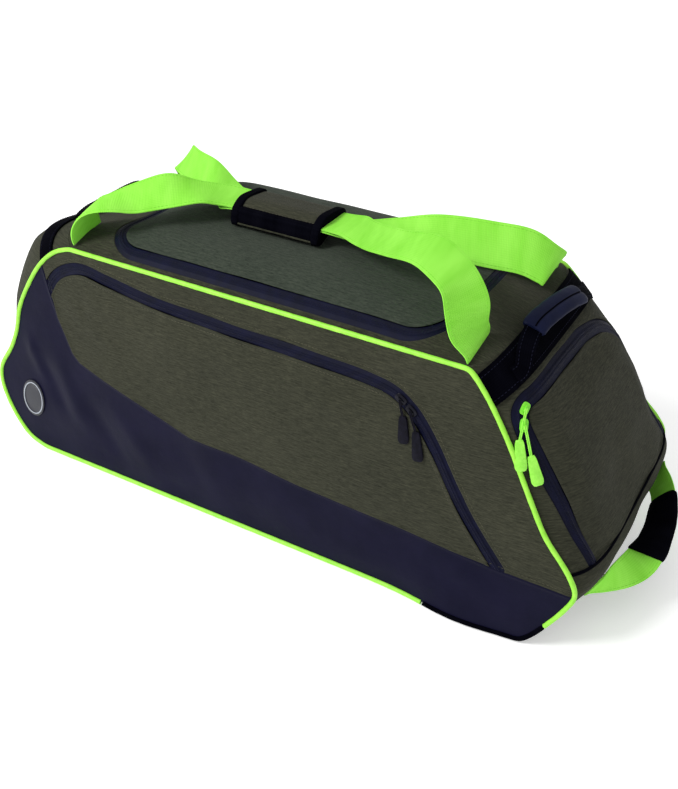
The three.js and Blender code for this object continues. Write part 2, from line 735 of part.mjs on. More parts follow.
// The end pocket's zip line in front view, as (y, z) pairs from the front to the back
const endZip = smooth(
  endZipRows.map((row) => {
    const z = heightAt(row.height);
    return new THREE.Vector3(0, row.side * (halfWidthAt(z) - EDGE_INSET), z);
  }),
  28,
).map((point) => [point.y, point.z]);
const endPocketFloor = endZip[0][1];

function endCutter(distance, floor) {
  const moved = offsetLine(endZip, distance);
  const first = moved[0];
  const last = moved[moved.length - 1];
  const outline = [[first[0], -BAG_HEIGHT], ...moved, [last[0], -BAG_HEIGHT]].reverse();
  return cutter(outline, 'x', 0, CUT_REACH).trimByPlane([0, 0, 1], floor);
}

const rightEnd = toSolid(endSheet('right', CLOTH));
const endZipOuter = endCutter(ZIP_WIDTH / 2, endPocketFloor);
const endZipInner = endCutter(-ZIP_WIDTH / 2, 0);
const endHole = endCutter(ZIP_WIDTH / 2 + SEAM_GAP, endPocketFloor - SEAM_GAP);
const endCover = endCutter(-ZIP_WIDTH / 2 - SEAM_GAP, endPocketFloor);
piece('right_end_panel', 'olive', toGeometry(rightEnd.subtract(endHole)));
piece('end_pocket_zip', 'zip', toGeometry(rightEnd.intersect(endZipOuter).subtract(endZipInner)));
piece('end_pocket_panel', 'olive', toGeometry(rightEnd.intersect(endCover)));
const endGeometry = toGeometry(rightEnd);
const intoEnd = new THREE.Vector3(-1, 0, 0);

// The base: a flat board whose underside is the ground face

const BASE_STEPS = 8;
const BASE_HALF_WIDTH = BASE_WIDTH / 2 - EDGE_INSET;
const baseLeft = lineX(ends.left.line, BASE_BOARD) - endBulge('left', 0, 0) + SEAM_GAP;
const baseRight = lineX(ends.right.line, BASE_BOARD) + endBulge('right', 0, 0) - SEAM_GAP;

function baseOutline() {
  const edge = (end) => Array.from({ length: BASE_STEPS + 1 }, (_, index) => {
    const side = lerp(-1, 1, index / BASE_STEPS);
    const x = lineX(ends[end].line, BASE_BOARD) + ends[end].out * endBulge(end, 0, side);
    return new THREE.Vector2(x - ends[end].out * SEAM_GAP, side * BASE_HALF_WIDTH);
  });
  return [...edge('right'), ...edge('left').reverse()];
}

const baseShape = new THREE.Shape(baseOutline());
piece('base_panel', 'base', new THREE.ExtrudeGeometry(baseShape, { depth: BASE_BOARD, bevelEnabled: false }));

// The piping round both long faces

function pipingLoop(side) {
  const left = ends.left.line;
  const right = ends.right.line;
  const across = (from, to, count) => Array.from(
    { length: count },
    (_, index) => from.clone().lerp(to, (index + 1) / (count + 1)),
  );
  const loop = [
    ...right,
    ...across(right[right.length - 1], left[left.length - 1], 6),
    ...left.slice().reverse(),
    ...across(left[0], right[0], 6),
  ];
  return loop.map((point) => new THREE.Vector3(point.x, side * halfWidthAt(point.z), point.z));
}

const pipingSection = roundSection(PIPING_RADIUS, PIPING_RADIUS, PIPING_SIDES, 2);

function pipingTube(side) {
  const centres = pipingLoop(side);
  const widths = centres.map(() => new THREE.Vector3(0, 1, 0));
  return sweep(framesFrom(centres, widths, true), pipingSection, true);
}

piece('piping_front', 'piping', pipingTube(-1));
piece('piping_back', 'piping', pipingTube(1));

// Where a straight line from outside first meets a surface that is already made

function landing(geometry, origin, direction) {
  const target = new THREE.Mesh(geometry, new THREE.MeshBasicMaterial({ side: THREE.DoubleSide }));
  const hit = new THREE.Raycaster(origin, direction.clone().normalize()).intersectObject(target)[0];
  if (!hit) {
    return null;
  }
  const normal = hit.face.normal.clone();
  if (normal.dot(direction) > 0) {
    normal.negate();
  }
  return { point: hit.point, normal };
}

// Webbing over the shoulders, and the grab handles that stand on it

const slopes = {
  left: { along: new THREE.Vector3(0.85, 0, 0.53).normalize(), up: new THREE.Vector3(-0.1, 0, 1) },
  right: { along: new THREE.Vector3(-0.68, 0, 0.73).normalize(), up: new THREE.Vector3(0.5, 0, 0.86) },
};

// The room between the two long faces, inside their piping
function betweenFaces(margin) {
  const high = BAG_HEIGHT + TOP_WIDTH;
  const low = halfWidthAt(0) - EDGE_INSET - margin;
  const narrow = halfWidthAt(high) - EDGE_INSET - margin;
  return cutter([[-low, 0], [low, 0], [narrow, high], [-narrow, high]], 'x', -CUT_REACH, CUT_REACH);
}

for (const end of ['left', 'right']) {
  const along = slopes[end].along;
  const top = Math.min(endPoint(end, 1, 1).dot(along), endPoint(end, 0, 1).dot(along)) - SEAM_GAP;
  const layer = toSolid(endSheet(end, WEBBING, WEBBING + REST_GAP));
  const band = layer.intersect(betweenFaces(0))
    .trimByPlane(along.toArray(), top - END_WEBBING_WIDTH)
    .trimByPlane(along.clone().negate().toArray(), -top);
  piece(`${end}_end_webbing`, 'black', toGeometry(band));
}

const STRIP_GAP = REST_GAP + WEBBING;

function grabFrames(end) {
  const { along, up } = slopes[end];
  const { foot, rise, spread, settle } = grabHandles[end];
  const normal = new THREE.Vector3(0, 1, 0).cross(along).multiplyScalar(end === 'left' ? -1 : 1);
  const proud = STRIP_GAP + REST_GAP + WEBBING / 2 - settle;
  const centres = grabRows.map((row) => endPoint(end, row.side * spread, foot)
    .addScaledVector(normal, proud)
    .addScaledVector(up, row.lift * rise));
  const path = smooth(centres, STRAP_STEPS * (centres.length - 1));
  return framesFrom(path, path.map(() => along));
}

// A padded sleeve round webbing, between two of its frames
function sleeve(frames, first, last, slot, padding, squareness) {
  const [width, thickness] = slot;
  const outer = roundSection(width / 2 + padding, thickness / 2 + padding, SLEEVE_SIDES, squareness);
  const body = toSolid(sweep(frames.slice(first, last + 1), outer));
  const hollow = stripSection(width + 2 * SEAM_GAP, thickness + 2 * SEAM_GAP);
  return toGeometry(body.subtract(toSolid(sweep(frames.slice(first - 1, last + 2), hollow))));
}

for (const end of ['left', 'right']) {
  const frames = grabFrames(end);
  piece(`${end}_grab_handle`, 'black', sweep(frames, stripSection(GRAB_WIDTH, WEBBING)));
  if (end === 'right') {
    const first = Math.round(frames.length * GRAB_SLEEVE.from);
    const last = Math.round(frames.length * GRAB_SLEEVE.to);
    const body = sleeve(frames, first, last, [GRAB_WIDTH, WEBBING], GRAB_SLEEVE_PADDING, 2.6);
    piece('right_grab_sleeve', 'sleeve', body);
  }
}

// The carry straps and the wrap that holds them together

const STACK = (WEBBING + SEAM_GAP) / 2;
const FOOT_SIDE = TOP_WIDTH / 2 - EDGE_INSET - CARRY_WIDTH / 2 - SEAM_GAP;
const FOOT_PLAY = 2;
const FOOT_STAND = 10;
const WRAP_LEAD = 8;
const FLAT = new THREE.Vector3(0, 1, 0);
const FOOT_SAMPLES = [-0.5, -0.25, 0, 0.25, 0.5];

// Where a strap's foot stands on the top, at the given end and long side
const topGeometry = toGeometry(topSheet);

function strapFoot(end, side) {
  const x = topPoint(end === 'left' ? 0 : 1, side).x - ends[end].out * FOOT_PLAY;
  const across = (place) => FOOT_SAMPLES.map((share) => {
    const above = new THREE.Vector3(place, side * FOOT_SIDE + share * CARRY_WIDTH, CUT_REACH);
    return landing(topGeometry, above, new THREE.Vector3(0, 0, -1)).point;
  });
  const ground = across(x);
  const near = ground[0];
  const far = ground[ground.length - 1];
  const humps = [...ground, ...across(x - WEBBING), ...across(x + WEBBING)].map((point) => {
    const share = (point.y - near.y) / (far.y - near.y);
    return point.z - lerp(near.z, far.z, share);
  });
  const width = far.clone().sub(near).normalize();
  const centre = near.clone().add(far).multiplyScalar(0.5);
  centre.z += Math.max(...humps) + REST_GAP;
  return { centre, width, up: new THREE.Vector3(0, -width.z, width.y) };
}

function strapHalf(rows, end, side, level) {
  const mouth = new THREE.Vector3(WRAP_CENTRE + (ends[end].out * WRAP_LENGTH) / 2, 0, level);
  const start = mouth.clone().add(new THREE.Vector3(ends[end].out * WRAP_LEAD, 0, 0));
  const foot = strapFoot(end, side);
  const centres = rows.map((row) => new THREE.Vector3(
    lerp(start.x, foot.centre.x, row.along),
    (row.side * TOP_WIDTH) / 2,
    lerp(BAG_HEIGHT, level, row.lift),
  ));
  const widths = rows.map((row) => new THREE.Vector3(row.wx, row.wy, row.wz));
  const stand = foot.centre.clone().addScaledVector(foot.up, FOOT_STAND);
  const count = STRAP_STEPS * (rows.length + 1);
  return {
    centres: [mouth, ...smooth([start, ...centres, stand], count)],
    widths: [FLAT, ...smooth([FLAT, ...widths, foot.width], count)],
    foot,
  };
}

function strapFrames(leftRows, rightRows, side, level) {
  const left = strapHalf(leftRows, 'left', side, level);
  const right = strapHalf(rightRows, 'right', side, level);
  const centres = [left.foot.centre, ...left.centres.reverse(), ...right.centres, right.foot.centre];
  const widths = [left.foot.width, ...left.widths.reverse(), ...right.widths, right.foot.width];
  return slantedFrames(centres, widths);
}

const carrySection = stripSection(CARRY_WIDTH, WEBBING);
const frontStrap = strapFrames(frontStrapLeft, frontStrapRight, -1, WRAP_HEIGHT + STACK);
const backStrap = strapFrames(backStrapLeft, backStrapRight, 1, WRAP_HEIGHT - STACK);
piece('carry_strap_front', 'lime', sweep(frontStrap, carrySection));
piece('carry_strap_back', 'lime', sweep(backStrap, carrySection));

// A stretch of the wrap between two places along X
function wrapStretch(from, to, padding) {
  const centres = [from - 1, from, to, to + 1].map((x) => new THREE.Vector3(x, 0, WRAP_HEIGHT));
  const frames = framesFrom(centres, centres.map(() => new THREE.Vector3(0, 1, 0)));
  const slot = [CARRY_WIDTH, 2 * (STACK + WEBBING / 2)];
  return sleeve(frames, 1, 2, slot, padding, 3);
}

const wrapFrom = WRAP_CENTRE - WRAP_LENGTH / 2;
const wrapTo = WRAP_CENTRE + WRAP_LENGTH / 2;
const bindingPadding = WRAP_PADDING + BINDING_PROUD;
const bindingReach = BINDING_LENGTH + SEAM_GAP;
piece('carry_wrap', 'olive', wrapStretch(wrapFrom + bindingReach, wrapTo - bindingReach, WRAP_PADDING));
piece('wrap_binding_left', 'black', wrapStretch(wrapFrom, wrapFrom + BINDING_LENGTH, bindingPadding));
piece('wrap_binding_right', 'black', wrapStretch(wrapTo - BINDING_LENGTH, wrapTo, bindingPadding));

// The haul loop at the foot of the right end, with its padded grip

// Where a foot of the loop stands on the end, with its width lying along the cloth
function haulFoot(side) {
  const edges = [-1, 0, 1].map((way) => {
    const z = HAUL_HEIGHT + (way * HAUL_WIDTH) / 2;
    const above = new THREE.Vector3(CUT_REACH, side * HAUL_HALF_SPAN, z);
    return landing(endGeometry, above, intoEnd).point;
  });
  const [low, middle, high] = edges;
  const width = high.clone().sub(low).normalize();
  const out = new THREE.Vector3(width.z, 0, -width.x).normalize();
  const hump = Math.max(0, middle.clone().sub(low).dot(out));
  const centre = low.clone().add(high).multiplyScalar(0.5);
  return { centre: centre.addScaledVector(out, hump + REST_GAP + WEBBING), width };
}

const haulFeet = [haulFoot(-1), haulFoot(1)];
const haulSteps = 2 * (haulRows.length - 1);
const upright = new THREE.Vector3(0, 0, 1);
const haulPlaces = haulRows.map((row) => {
  const foot = haulFeet[row.side < 0 ? 0 : 1];
  return {
    centre: new THREE.Vector3(foot.centre.x + row.reach * HAUL_REACH, row.side * HAUL_HALF_SPAN, HAUL_HEIGHT),
    width: upright.clone().lerp(foot.width, row.lean).normalize(),
  };
});
const haulCentres = smooth(haulPlaces.map((place) => place.centre), haulSteps);
const haulWidths = smooth(haulPlaces.map((place) => place.width), haulSteps);
const haulFrames = slantedFrames(haulCentres, haulWidths);
piece('haul_strap', 'lime', sweep(haulFrames, stripSection(HAUL_WIDTH, WEBBING)));
const gripFirst = Math.round(haulFrames.length * HAUL_GRIP.from);
const gripLast = Math.round(haulFrames.length * HAUL_GRIP.to);
const haulSlot = [HAUL_WIDTH, WEBBING];
piece('haul_grip', 'black', sleeve(haulFrames, gripFirst, gripLast, haulSlot, HAUL_PADDING, 2.6));

// The badge, cut from a second cloth that lies on the front

const badgeOutline = Array.from({ length: BADGE_SIDES }, (_, index) => {
  const angle = (2 * Math.PI * index) / BADGE_SIDES;
  return [
    BADGE_X + (BADGE_WIDTH / 2) * Math.cos(angle),
    BADGE_Z + (BADGE_HEIGHT / 2) * Math.sin(angle),
  ];
});
const badgeCut = cutter(badgeOutline, 'y', -CUT_REACH, CUT_REACH);
const badgeCloth = faceSheet(-1, BADGE_THICKNESS, BADGE_THICKNESS + REST_GAP);
piece('badge', 'badge', toGeometry(badgeCloth.intersect(badgeCut)));

// Small flat plates: zip sliders and the pulls that hang from them on a short cord

const sliderOutline = roundSection(SLIDER_WIDTH / 2, SLIDER_LENGTH / 2, 12, 3.4);

const pullHalf = [
  [PULL_CORD_WIDTH / 2, 0],
  [PULL_CORD_WIDTH / 2, PULL_CORD_LENGTH],
  [(PULL_WIDTH / 2) * PULL_TAPER, PULL_CORD_LENGTH + 2],
  [(PULL_WIDTH / 2) * PULL_TAPER + 1, PULL_CORD_LENGTH + 5],
  [PULL_WIDTH / 2, PULL_CORD_LENGTH + PULL_LENGTH - 5],
  [PULL_WIDTH / 2 - 2.5, PULL_CORD_LENGTH + PULL_LENGTH],
];
const pullOutline = [...pullHalf, ...pullHalf.slice().reverse().map(([a, b]) => [-a, b])];

// Places all along an outline and half way to its middle, to feel what lies under a plate
function feelers(outline) {
  return outline.flatMap(([a, b], index) => {
    const [nextA, nextB] = outline[(index + 1) % outline.length];
    return [0, 0.25, 0.5, 0.75].flatMap((share) => [0.5, 1].map(
      (reach) => [reach * lerp(a, nextA, share), lerp(b, nextB, share)],
    ));
  });
}

// A plate with its outline in (across, along) pairs, laid where a line going inwards lands
function plateOn(target, above, inwards, wish, outline, thickness) {
  const spot = landing(target, above, inwards);
  const along = wish.clone().addScaledVector(spot.normal, -wish.dot(spot.normal)).normalize();
  const across = along.clone().cross(spot.normal).normalize();
  const heights = feelers(outline).map(([a, b]) => {
    const over = above.clone().addScaledVector(across, a).addScaledVector(along, b);
    const under = landing(target, over, inwards);
    return under ? under.point.sub(spot.point).dot(spot.normal) : 0;
  });
  const rest = Math.max(...heights, 0) + PLATE_GAP;
  const shape = new THREE.Shape(outline.map(([a, b]) => new THREE.Vector2(a, b)));
  const geometry = new THREE.ExtrudeGeometry(shape, { depth: thickness, bevelEnabled: false });
  const place = new THREE.Matrix4().makeBasis(across, along, spot.normal);
  place.setPosition(spot.point.clone().addScaledVector(spot.normal, rest));
  return geometry.applyMatrix4(place);
}

const PULL_CLEARANCE = PULL_CORD_WIDTH / 2 + 2 * SEAM_GAP;

// A place on a line of pairs at a share of its length, with the way that the line runs there
function placeOn(line, share) {
  const runs = line.slice(1).map((point, index) => Math.hypot(
    point[0] - line[index][0],
    point[1] - line[index][1],
  ));
  let left = share * runs.reduce((sum, run) => sum + run, 0);
  let index = 0;
  while (index < runs.length - 1 && left > runs[index]) {
    left -= runs[index];
    index += 1;
  }
  const from = line[index];
  const to = line[index + 1];
  const step = left / runs[index];
  return {
    a: lerp(from[0], to[0], step),
    b: lerp(from[1], to[1], step),
    alongA: (to[0] - from[0]) / runs[index],
    alongB: (to[1] - from[1]) / runs[index],
  };
}

// Each slider and its pull on one zip: lift turns a pair into a point out in front of the cloth
function slidersOn(name, rows, line, cloth, lift, inwards, finishes) {
  rows.forEach((row, index) => {
    const place = placeOn(line, row.along);
    const zipWay = lift(place.alongA, place.alongB).sub(lift(0, 0));
    const onZip = lift(place.a, place.b);
    const body = plateOn(cloth, onZip, inwards, zipWay, sliderOutline, SLIDER_HEIGHT);
    piece(`${name}_slider_${index + 1}`, finishes.slider, body);
    const across = row.across * (SLIDER_WIDTH / 2 + PULL_CLEARANCE);
    const ahead = row.ahead * (SLIDER_LENGTH / 2 + PULL_CLEARANCE);
    const fromA = place.a + across * place.alongB + ahead * place.alongA;
    const fromB = place.b - across * place.alongA + ahead * place.alongB;
    const hang = lift(row.lean, -1).sub(lift(0, 0));
    const tab = plateOn(cloth, lift(fromA, fromB), inwards, hang, pullOutline, PULL_THICKNESS);
    piece(`${name}_pull_${index + 1}`, finishes.pull, tab);
  });
}

const frontLift = (x, z) => new THREE.Vector3(x, -CUT_REACH, z);
const frontGeometry = toGeometry(frontCloth);
const intoFront = new THREE.Vector3(0, 1, 0);
const plainFinish = { slider: 'slider', pull: 'rubber' };
slidersOn('front', frontSliderRows, pocketZip, frontGeometry, frontLift, intoFront, plainFinish);

const endLift = (y, z) => new THREE.Vector3(CUT_REACH, y, z);
const pipedEnd = toGeometry(rightEnd.add(toSolid(pipingTube(-1))));
const limeFinish = { slider: 'limeSlider', pull: 'limeRubber' };
slidersOn('end', endSliderRows, endZip, pipedEnd, endLift, intoEnd, limeFinish);

const LID_SLIDER_INSET = 16;
const overLidZip = new THREE.Vector3(lidLeft, lidBack - LID_SLIDER_INSET, CUT_REACH);
const intoLid = new THREE.Vector3(0, 0, -1);
const alongLidZip = new THREE.Vector3(0, 1, 0);
const lidSlider = plateOn(topGeometry, overLidZip, intoLid, alongLidZip, sliderOutline, SLIDER_HEIGHT);
piece('lid_slider', 'slider', lidSlider);

export default group;
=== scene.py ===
import math

import bmesh
import bpy
import numpy as np
from mathutils import Matrix, Vector


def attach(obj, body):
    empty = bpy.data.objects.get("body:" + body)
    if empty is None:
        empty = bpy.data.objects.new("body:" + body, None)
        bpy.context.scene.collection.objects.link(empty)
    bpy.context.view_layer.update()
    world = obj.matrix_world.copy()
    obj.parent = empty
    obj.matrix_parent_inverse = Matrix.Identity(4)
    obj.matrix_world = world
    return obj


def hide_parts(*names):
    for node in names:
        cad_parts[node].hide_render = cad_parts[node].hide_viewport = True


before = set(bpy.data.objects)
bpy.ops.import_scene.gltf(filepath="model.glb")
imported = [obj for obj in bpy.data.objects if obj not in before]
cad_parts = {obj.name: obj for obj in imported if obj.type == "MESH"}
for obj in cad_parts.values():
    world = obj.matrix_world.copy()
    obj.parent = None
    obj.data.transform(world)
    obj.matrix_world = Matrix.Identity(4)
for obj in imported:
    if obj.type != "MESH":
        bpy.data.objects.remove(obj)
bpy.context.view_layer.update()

MM = 0.001

# Camera at the photograph's angle

YAW, PITCH, ROLL = (math.radians(angle) for angle in (29.91, 34.24, 0.28))
camera_data = bpy.data.cameras.new("camera")
camera = bpy.data.objects.new("camera", camera_data)
bpy.context.scene.collection.objects.link(camera)
CAMERA_AT = (0.570, -0.957, 0.860)
turn = (Matrix.Rotation(YAW, 4, "Z") @ Matrix.Rotation(math.pi / 2 - PITCH, 4, "X")
        @ Matrix.Rotation(ROLL, 4, "Z"))
camera.matrix_world = Matrix.Translation(CAMERA_AT) @ turn
camera_data.sensor_width = 36
camera_data.lens = 47.18
camera_data.clip_start = 0.05
bpy.context.scene.camera = camera
bpy.context.scene.view_settings.view_transform = "Standard"

# The bag's own sizes in millimetres, the same as in its solids

HALF = 400
HIGH = 298
LOW = 4.0
BASE_WIDTH = 355
TOP_WIDTH = 272
FACE_CROWN = 8
CROWN = {"left": 48, "right": 45}
SHOULDER = {"left": 16, "right": 6}
OUT = {"left": -1, "right": 1}
TOP_RISE = 26
PIPING = 2.8
# How far panels stop short of the piping, and the long faces' outlines inside it
INSET = 3.2
TUCK = 1.2
CLOTH = 2.0
TAPE = 1.4
ZIP = 14.5
END_ZIP = 12.5
WEBBING = 2
REST = 0.35
WRAP_HIGH = 348
CARRY_WIDTH = 54
# How far each strap lies above or below the wrap's middle
STRAP_LAYER = 1.2
# How far a seam's stitches lie from its edge, and the top's cloth from the ends
SEAM_STITCH = 4.4
TOP_GAP = 2.6

# Up a long face: share of height, left and right ends, left and right crowns
rows = np.array([
    [0.00, -0.850, 0.875, 0.10, 0.12], [0.03, -0.918, 0.900, 0.15, 0.15],
    [0.11, -0.978, 0.942, 0.20, 0.22], [0.20, -1.018, 0.980, 0.26, 0.30],
    [0.27, -1.034, 0.998, 0.32, 0.40], [0.34, -1.030, 0.972, 0.42, 0.52],
    [0.46, -0.976, 0.892, 0.72, 0.80], [0.56, -0.946, 0.846, 0.90, 0.95],
    [0.66, -0.929, 0.803, 1.00, 1.00], [0.78, -0.885, 0.751, 1.08, 0.95],
    [0.90, -0.824, 0.690, 1.10, 0.70], [0.97, -0.762, 0.646, 0.90, 0.50],
    [1.00, -0.705, 0.622, 0.64, 0.42],
])
COLUMNS = {"left": (1, 3), "right": (2, 4)}
# Lines on the long faces and the right end: share of half length or width, share of height
lower_seam = np.array([
    [-0.860, 1.000], [-0.820, 0.900], [-0.755, 0.685], [-0.692, 0.543], [-0.662, 0.510], [-0.570, 0.473],
    [-0.375, 0.403], [-0.228, 0.352], [-0.062, 0.346], [0.168, 0.319], [0.500, 0.295], [0.762, 0.268],
    [1.100, 0.255],
])
pocket_rows = np.array([
    [-0.812, 0.745], [-0.768, 0.856], [-0.722, 0.903], [-0.655, 0.929], [-0.560, 0.916], [-0.420, 0.892],
    [-0.175, 0.876], [0.090, 0.869], [0.340, 0.856], [0.425, 0.836], [0.476, 0.795], [0.518, 0.742],
    [0.566, 0.661], [0.652, 0.486], [0.720, 0.372], [0.790, 0.262],
])
end_rows = np.array([
    [-0.828, 0.340], [-0.843, 0.420], [-0.858, 0.490], [-0.880, 0.565], [-0.902, 0.650], [-0.918, 0.740],
    [-0.922, 0.800], [-0.900, 0.850], [-0.840, 0.876], [-0.680, 0.888], [-0.400, 0.892], [0.000, 0.890],
    [0.310, 0.884], [0.580, 0.860], [0.760, 0.800], [0.830, 0.700], [0.852, 0.560], [0.856, 0.440],
    [0.850, 0.340],
])
LID = {"left": -0.588, "right": 0.518, "front": -0.890, "back": 0.860, "corner": 0.330}

# Each panel's gentle waves: depth, seed, shortest and longest
UNEVEN = {
    "front": (1.1, 3, 70, 190), "back": (1.1, 4, 70, 190), "left": (1.3, 11, 70, 170),
    "right": (1.3, 12, 70, 170), "top": (0.9, 21, 60, 170),
}
# Each panel's folds: from one place to another, width, rise
FOLDS = {
    "front": [
        (-368, 178, -318, 92, 9, 2.6), (-345, 150, -286, 60, 10, -2.4), (-322, 172, -252, 40, 13, 2.2),
        (-270, 120, -190, 18, 12, -1.6), (-236, 128, -140, 26, 15, 1.8), (-120, 112, -60, 14, 17, -1.2),
        (230, 80, 350, 30, 14, 1.4), (-300, 238, -190, 180, 12, 1.3), (-262, 250, -250, 200, 7, -1.1),
        (60, 230, 160, 180, 14, 1.0), (238, 210, 260, 150, 10, 1.2),
    ],
    "back": [(-330, 150, -240, 40, 14, 1.8), (210, 220, 300, 120, 12, -1.4)],
    "left": [(-120, 150, -20, 105, 12, -2.2), (20, 110, 125, 150, 12, -2.0), (-90, 250, -70, 180, 10, 1.6)],
    "right": [(-150, 120, -60, 80, 10, -1.6), (60, 84, 150, 122, 10, -1.6)],
    "top": [(-200, -60, -120, -95, 12, 1.3), (60, -95, 170, -70, 13, -1.3)],
}


# Lines

def height(share):
    return LOW + np.asarray(share, float) * (HIGH - LOW)


def share_of(z):
    return (np.asarray(z, float) - LOW) / (HIGH - LOW)


def half_width(z):
    return BASE_WIDTH / 2 + share_of(z) * (TOP_WIDTH - BASE_WIDTH) / 2


def unit(ways):
    return ways / np.maximum(np.linalg.norm(ways, axis=-1, keepdims=True), 1e-9)


def curve(points, steps):
    """A centripetal curve through the points, at steps + 1 places."""
    points = np.asarray(points, float)
    last = len(points) - 1
    found = []
    for step in range(steps + 1):
        place = last * step / steps
        index = min(int(place), last - 1)
        weight = place - index
        b, c = points[index], points[index + 1]
        a = points[index - 1] if index > 0 else 2 * b - c
        d = points[index + 2] if index + 2 <= last else 2 * c - b
        first, middle, final = (max(np.linalg.norm(q - p), 1e-8) ** 0.5 for p, q in ((a, b), (b, c), (c, d)))
        slope_b = ((b - a) / first - (c - a) / (first + middle) + (c - b) / middle) * middle
        slope_c = ((c - b) / middle - (d - b) / (middle + final) + (d - c) / final) * middle
        square = -3 * b + 3 * c - 2 * slope_b - slope_c
        cube = 2 * b - 2 * c + slope_b + slope_c
        found.append(b + slope_b * weight + square * weight**2 + cube * weight**3)
    return np.array(found)


def run_of(line):
    """How far along a line each of its points lies."""
    return np.concatenate([[0], np.cumsum(np.linalg.norm(np.diff(line, axis=0), axis=1))])


def looked_up(places, run, values):
    """The values, given at each run, at other places."""
    return np.stack([np.interp(places, run, values[:, axis]) for axis in range(values.shape[1])], -1)


def by_share(line, shares):
    run = run_of(line)
    return looked_up(shares * run[-1], run, line)


def even(line, count):
    """The same line with its points at even distances."""
    line = np.asarray(line, float)
    run = run_of(line)
    return looked_up(np.linspace(0, run[-1], count), run, line)


def joined(*lines):
    return np.concatenate([lines[0], *(line[1:] for line in lines[1:])])


def sideways(line, distance):
    """A line of pairs moved to its left."""
    way = unit(np.gradient(line, axis=0))
    return line + distance * np.stack([-way[:, 1], way[:, 0]], 1)


def line_x(line, z):
    return np.interp(z, line[:, 1], line[:, 0])


def crossing(line_a, line_b):
    """Where the first line of pairs first crosses the second."""
    def cross(p, q):
        return p[0] * q[1] - p[1] * q[0]

    for a, b in zip(line_a[:-1], line_a[1:]):
        for c, d in zip(line_b[:-1], line_b[1:]):
            det = cross(b - a, d - c)
            if abs(det) < 1e-9:
                continue
            t, u = cross(c - a, d - c) / det, cross(c - a, b - a) / det
            if 0 <= t <= 1 and 0 <= u <= 1:
                return a + t * (b - a)
    raise ValueError("lines don't cross")


def cut_line(line, from_point, to_point):
    """The stretch of a line between two places on it."""
    def place(point):
        best, found = 1e9, 0.0
        for index, (a, b) in enumerate(zip(line[:-1], line[1:])):
            share = np.clip(np.dot(point - a, b - a) / max(np.dot(b - a, b - a), 1e-9), 0, 1)
            gap = np.linalg.norm(a + share * (b - a) - point)
            if gap < best:
                best, found = gap, index + share
        return found

    first, last = place(from_point), place(to_point)
    inside = [line[index] for index in range(math.ceil(first + 1e-6), math.floor(last - 1e-6) + 1)]
    whole = np.array([from_point, *inside, to_point])
    apart = np.linalg.norm(np.diff(whole, axis=0), axis=1) > 1e-6
    return whole[np.concatenate([[True], apart])]


def split(line, *corners):
    """A line in three stretches, parted nearest to two places."""
    a, b = (int(np.argmin(np.linalg.norm(line - corner, axis=1))) for corner in corners)
    return [line[: a + 1], line[a: b + 1], line[b:]]


def distance_to(line, places):
    """How far each flat place lies from a line of pairs."""
    flat = places.reshape(-1, 2)
    best = np.full(len(flat), 1e9)
    for a, b in zip(line[:-1], line[1:]):
        way = b - a
        share = np.clip(((flat - a) @ way) / max(way @ way, 1e-9), 0, 1)
        best = np.minimum(best, np.linalg.norm(flat - a - share[:, None] * way, axis=1))
    return best.reshape(places.shape[:-1])


end_line = {
    end: curve(np.stack([rows[:, COLUMNS[end][0]] * HALF, height(rows[:, 0])], 1), 96) for end in OUT
}
face_edge = {end: sideways(end_line[end], INSET * OUT[end]) for end in OUT}
tuck_edge = {end: sideways(end_line[end], TUCK * OUT[end]) for end in OUT}


# Surfaces: each takes flat places and gives points in space

def smooth_step(value, low, high):
    share = np.clip((value - low) / (high - low), 0, 1)
    return share * share * (3 - 2 * share)


def waves(a, b, seed, short, long, count=7):
    """A gentle unevenness of the cloth, between about -1 and 1."""
    random = np.random.default_rng(seed)
    total = np.zeros(np.broadcast(a, b).shape)
    for _ in range(count):
        angle = random.uniform(0, math.pi)
        length = random.uniform(short, long)
        phase = random.uniform(0, 2 * math.pi)
        total += np.sin(2 * math.pi * (a * math.cos(angle) + b * math.sin(angle)) / length + phase)
    return total / count**0.5 / 1.4


def rough(panel, a, b):
    """How far a panel's cloth strays: waves, and soft folds that fade at both ends."""
    depth, seed, short, long = UNEVEN[panel]
    total = depth * waves(a, b, seed, short, long)
    for a_from, b_from, a_to, b_to, width, rise in FOLDS[panel]:
        length = math.hypot(a_to - a_from, b_to - b_from)
        way_a, way_b = (a_to - a_from) / length, (b_to - b_from) / length
        along = ((a - a_from) * way_a + (b - b_from) * way_b) / length
        across = (b - b_from) * way_a - (a - a_from) * way_b
        total = total + rise * np.exp(-(((along - 0.5) / 0.34) ** 4)) * np.exp(-((across / width) ** 2))
    return total


def sag(side, x, z):
    """How far the front's lower right corner slumps forward."""
    return (side < 0) * 9.0 * np.exp(-(((x - 276) / 58) ** 2)) * np.exp(-((z / 50) ** 2))


def face(side, x, z, folds=True):
    """A long face: side is -1 in front and 1 behind."""
    left, right = line_x(face_edge["left"], z), line_x(face_edge["right"], z)
    along = np.clip((x - left) / (right - left), 0, 1)
    up = np.clip((z - LOW - INSET) / (HIGH - LOW - 2 * INSET), 0, 1)
    swell = np.sin(math.pi * along) ** 0.6 * np.sin(math.pi * up) ** 0.8
    y = half_width(z) + FACE_CROWN * swell + sag(side, x, z)
    if folds:
        near = np.clip(np.minimum(x - left, right - x) / 30, 0, 1)
        near = near * np.clip(np.minimum(z - LOW, HIGH - z) / 22, 0, 1)
        y = y + near * rough("front" if side < 0 else "back", x, z)
    return np.stack([x, side * y, z], -1)


def shoulder(end, side, share):
    return SHOULDER[end] * (1 - side**4) * smooth_step(share, 0.6, 1)


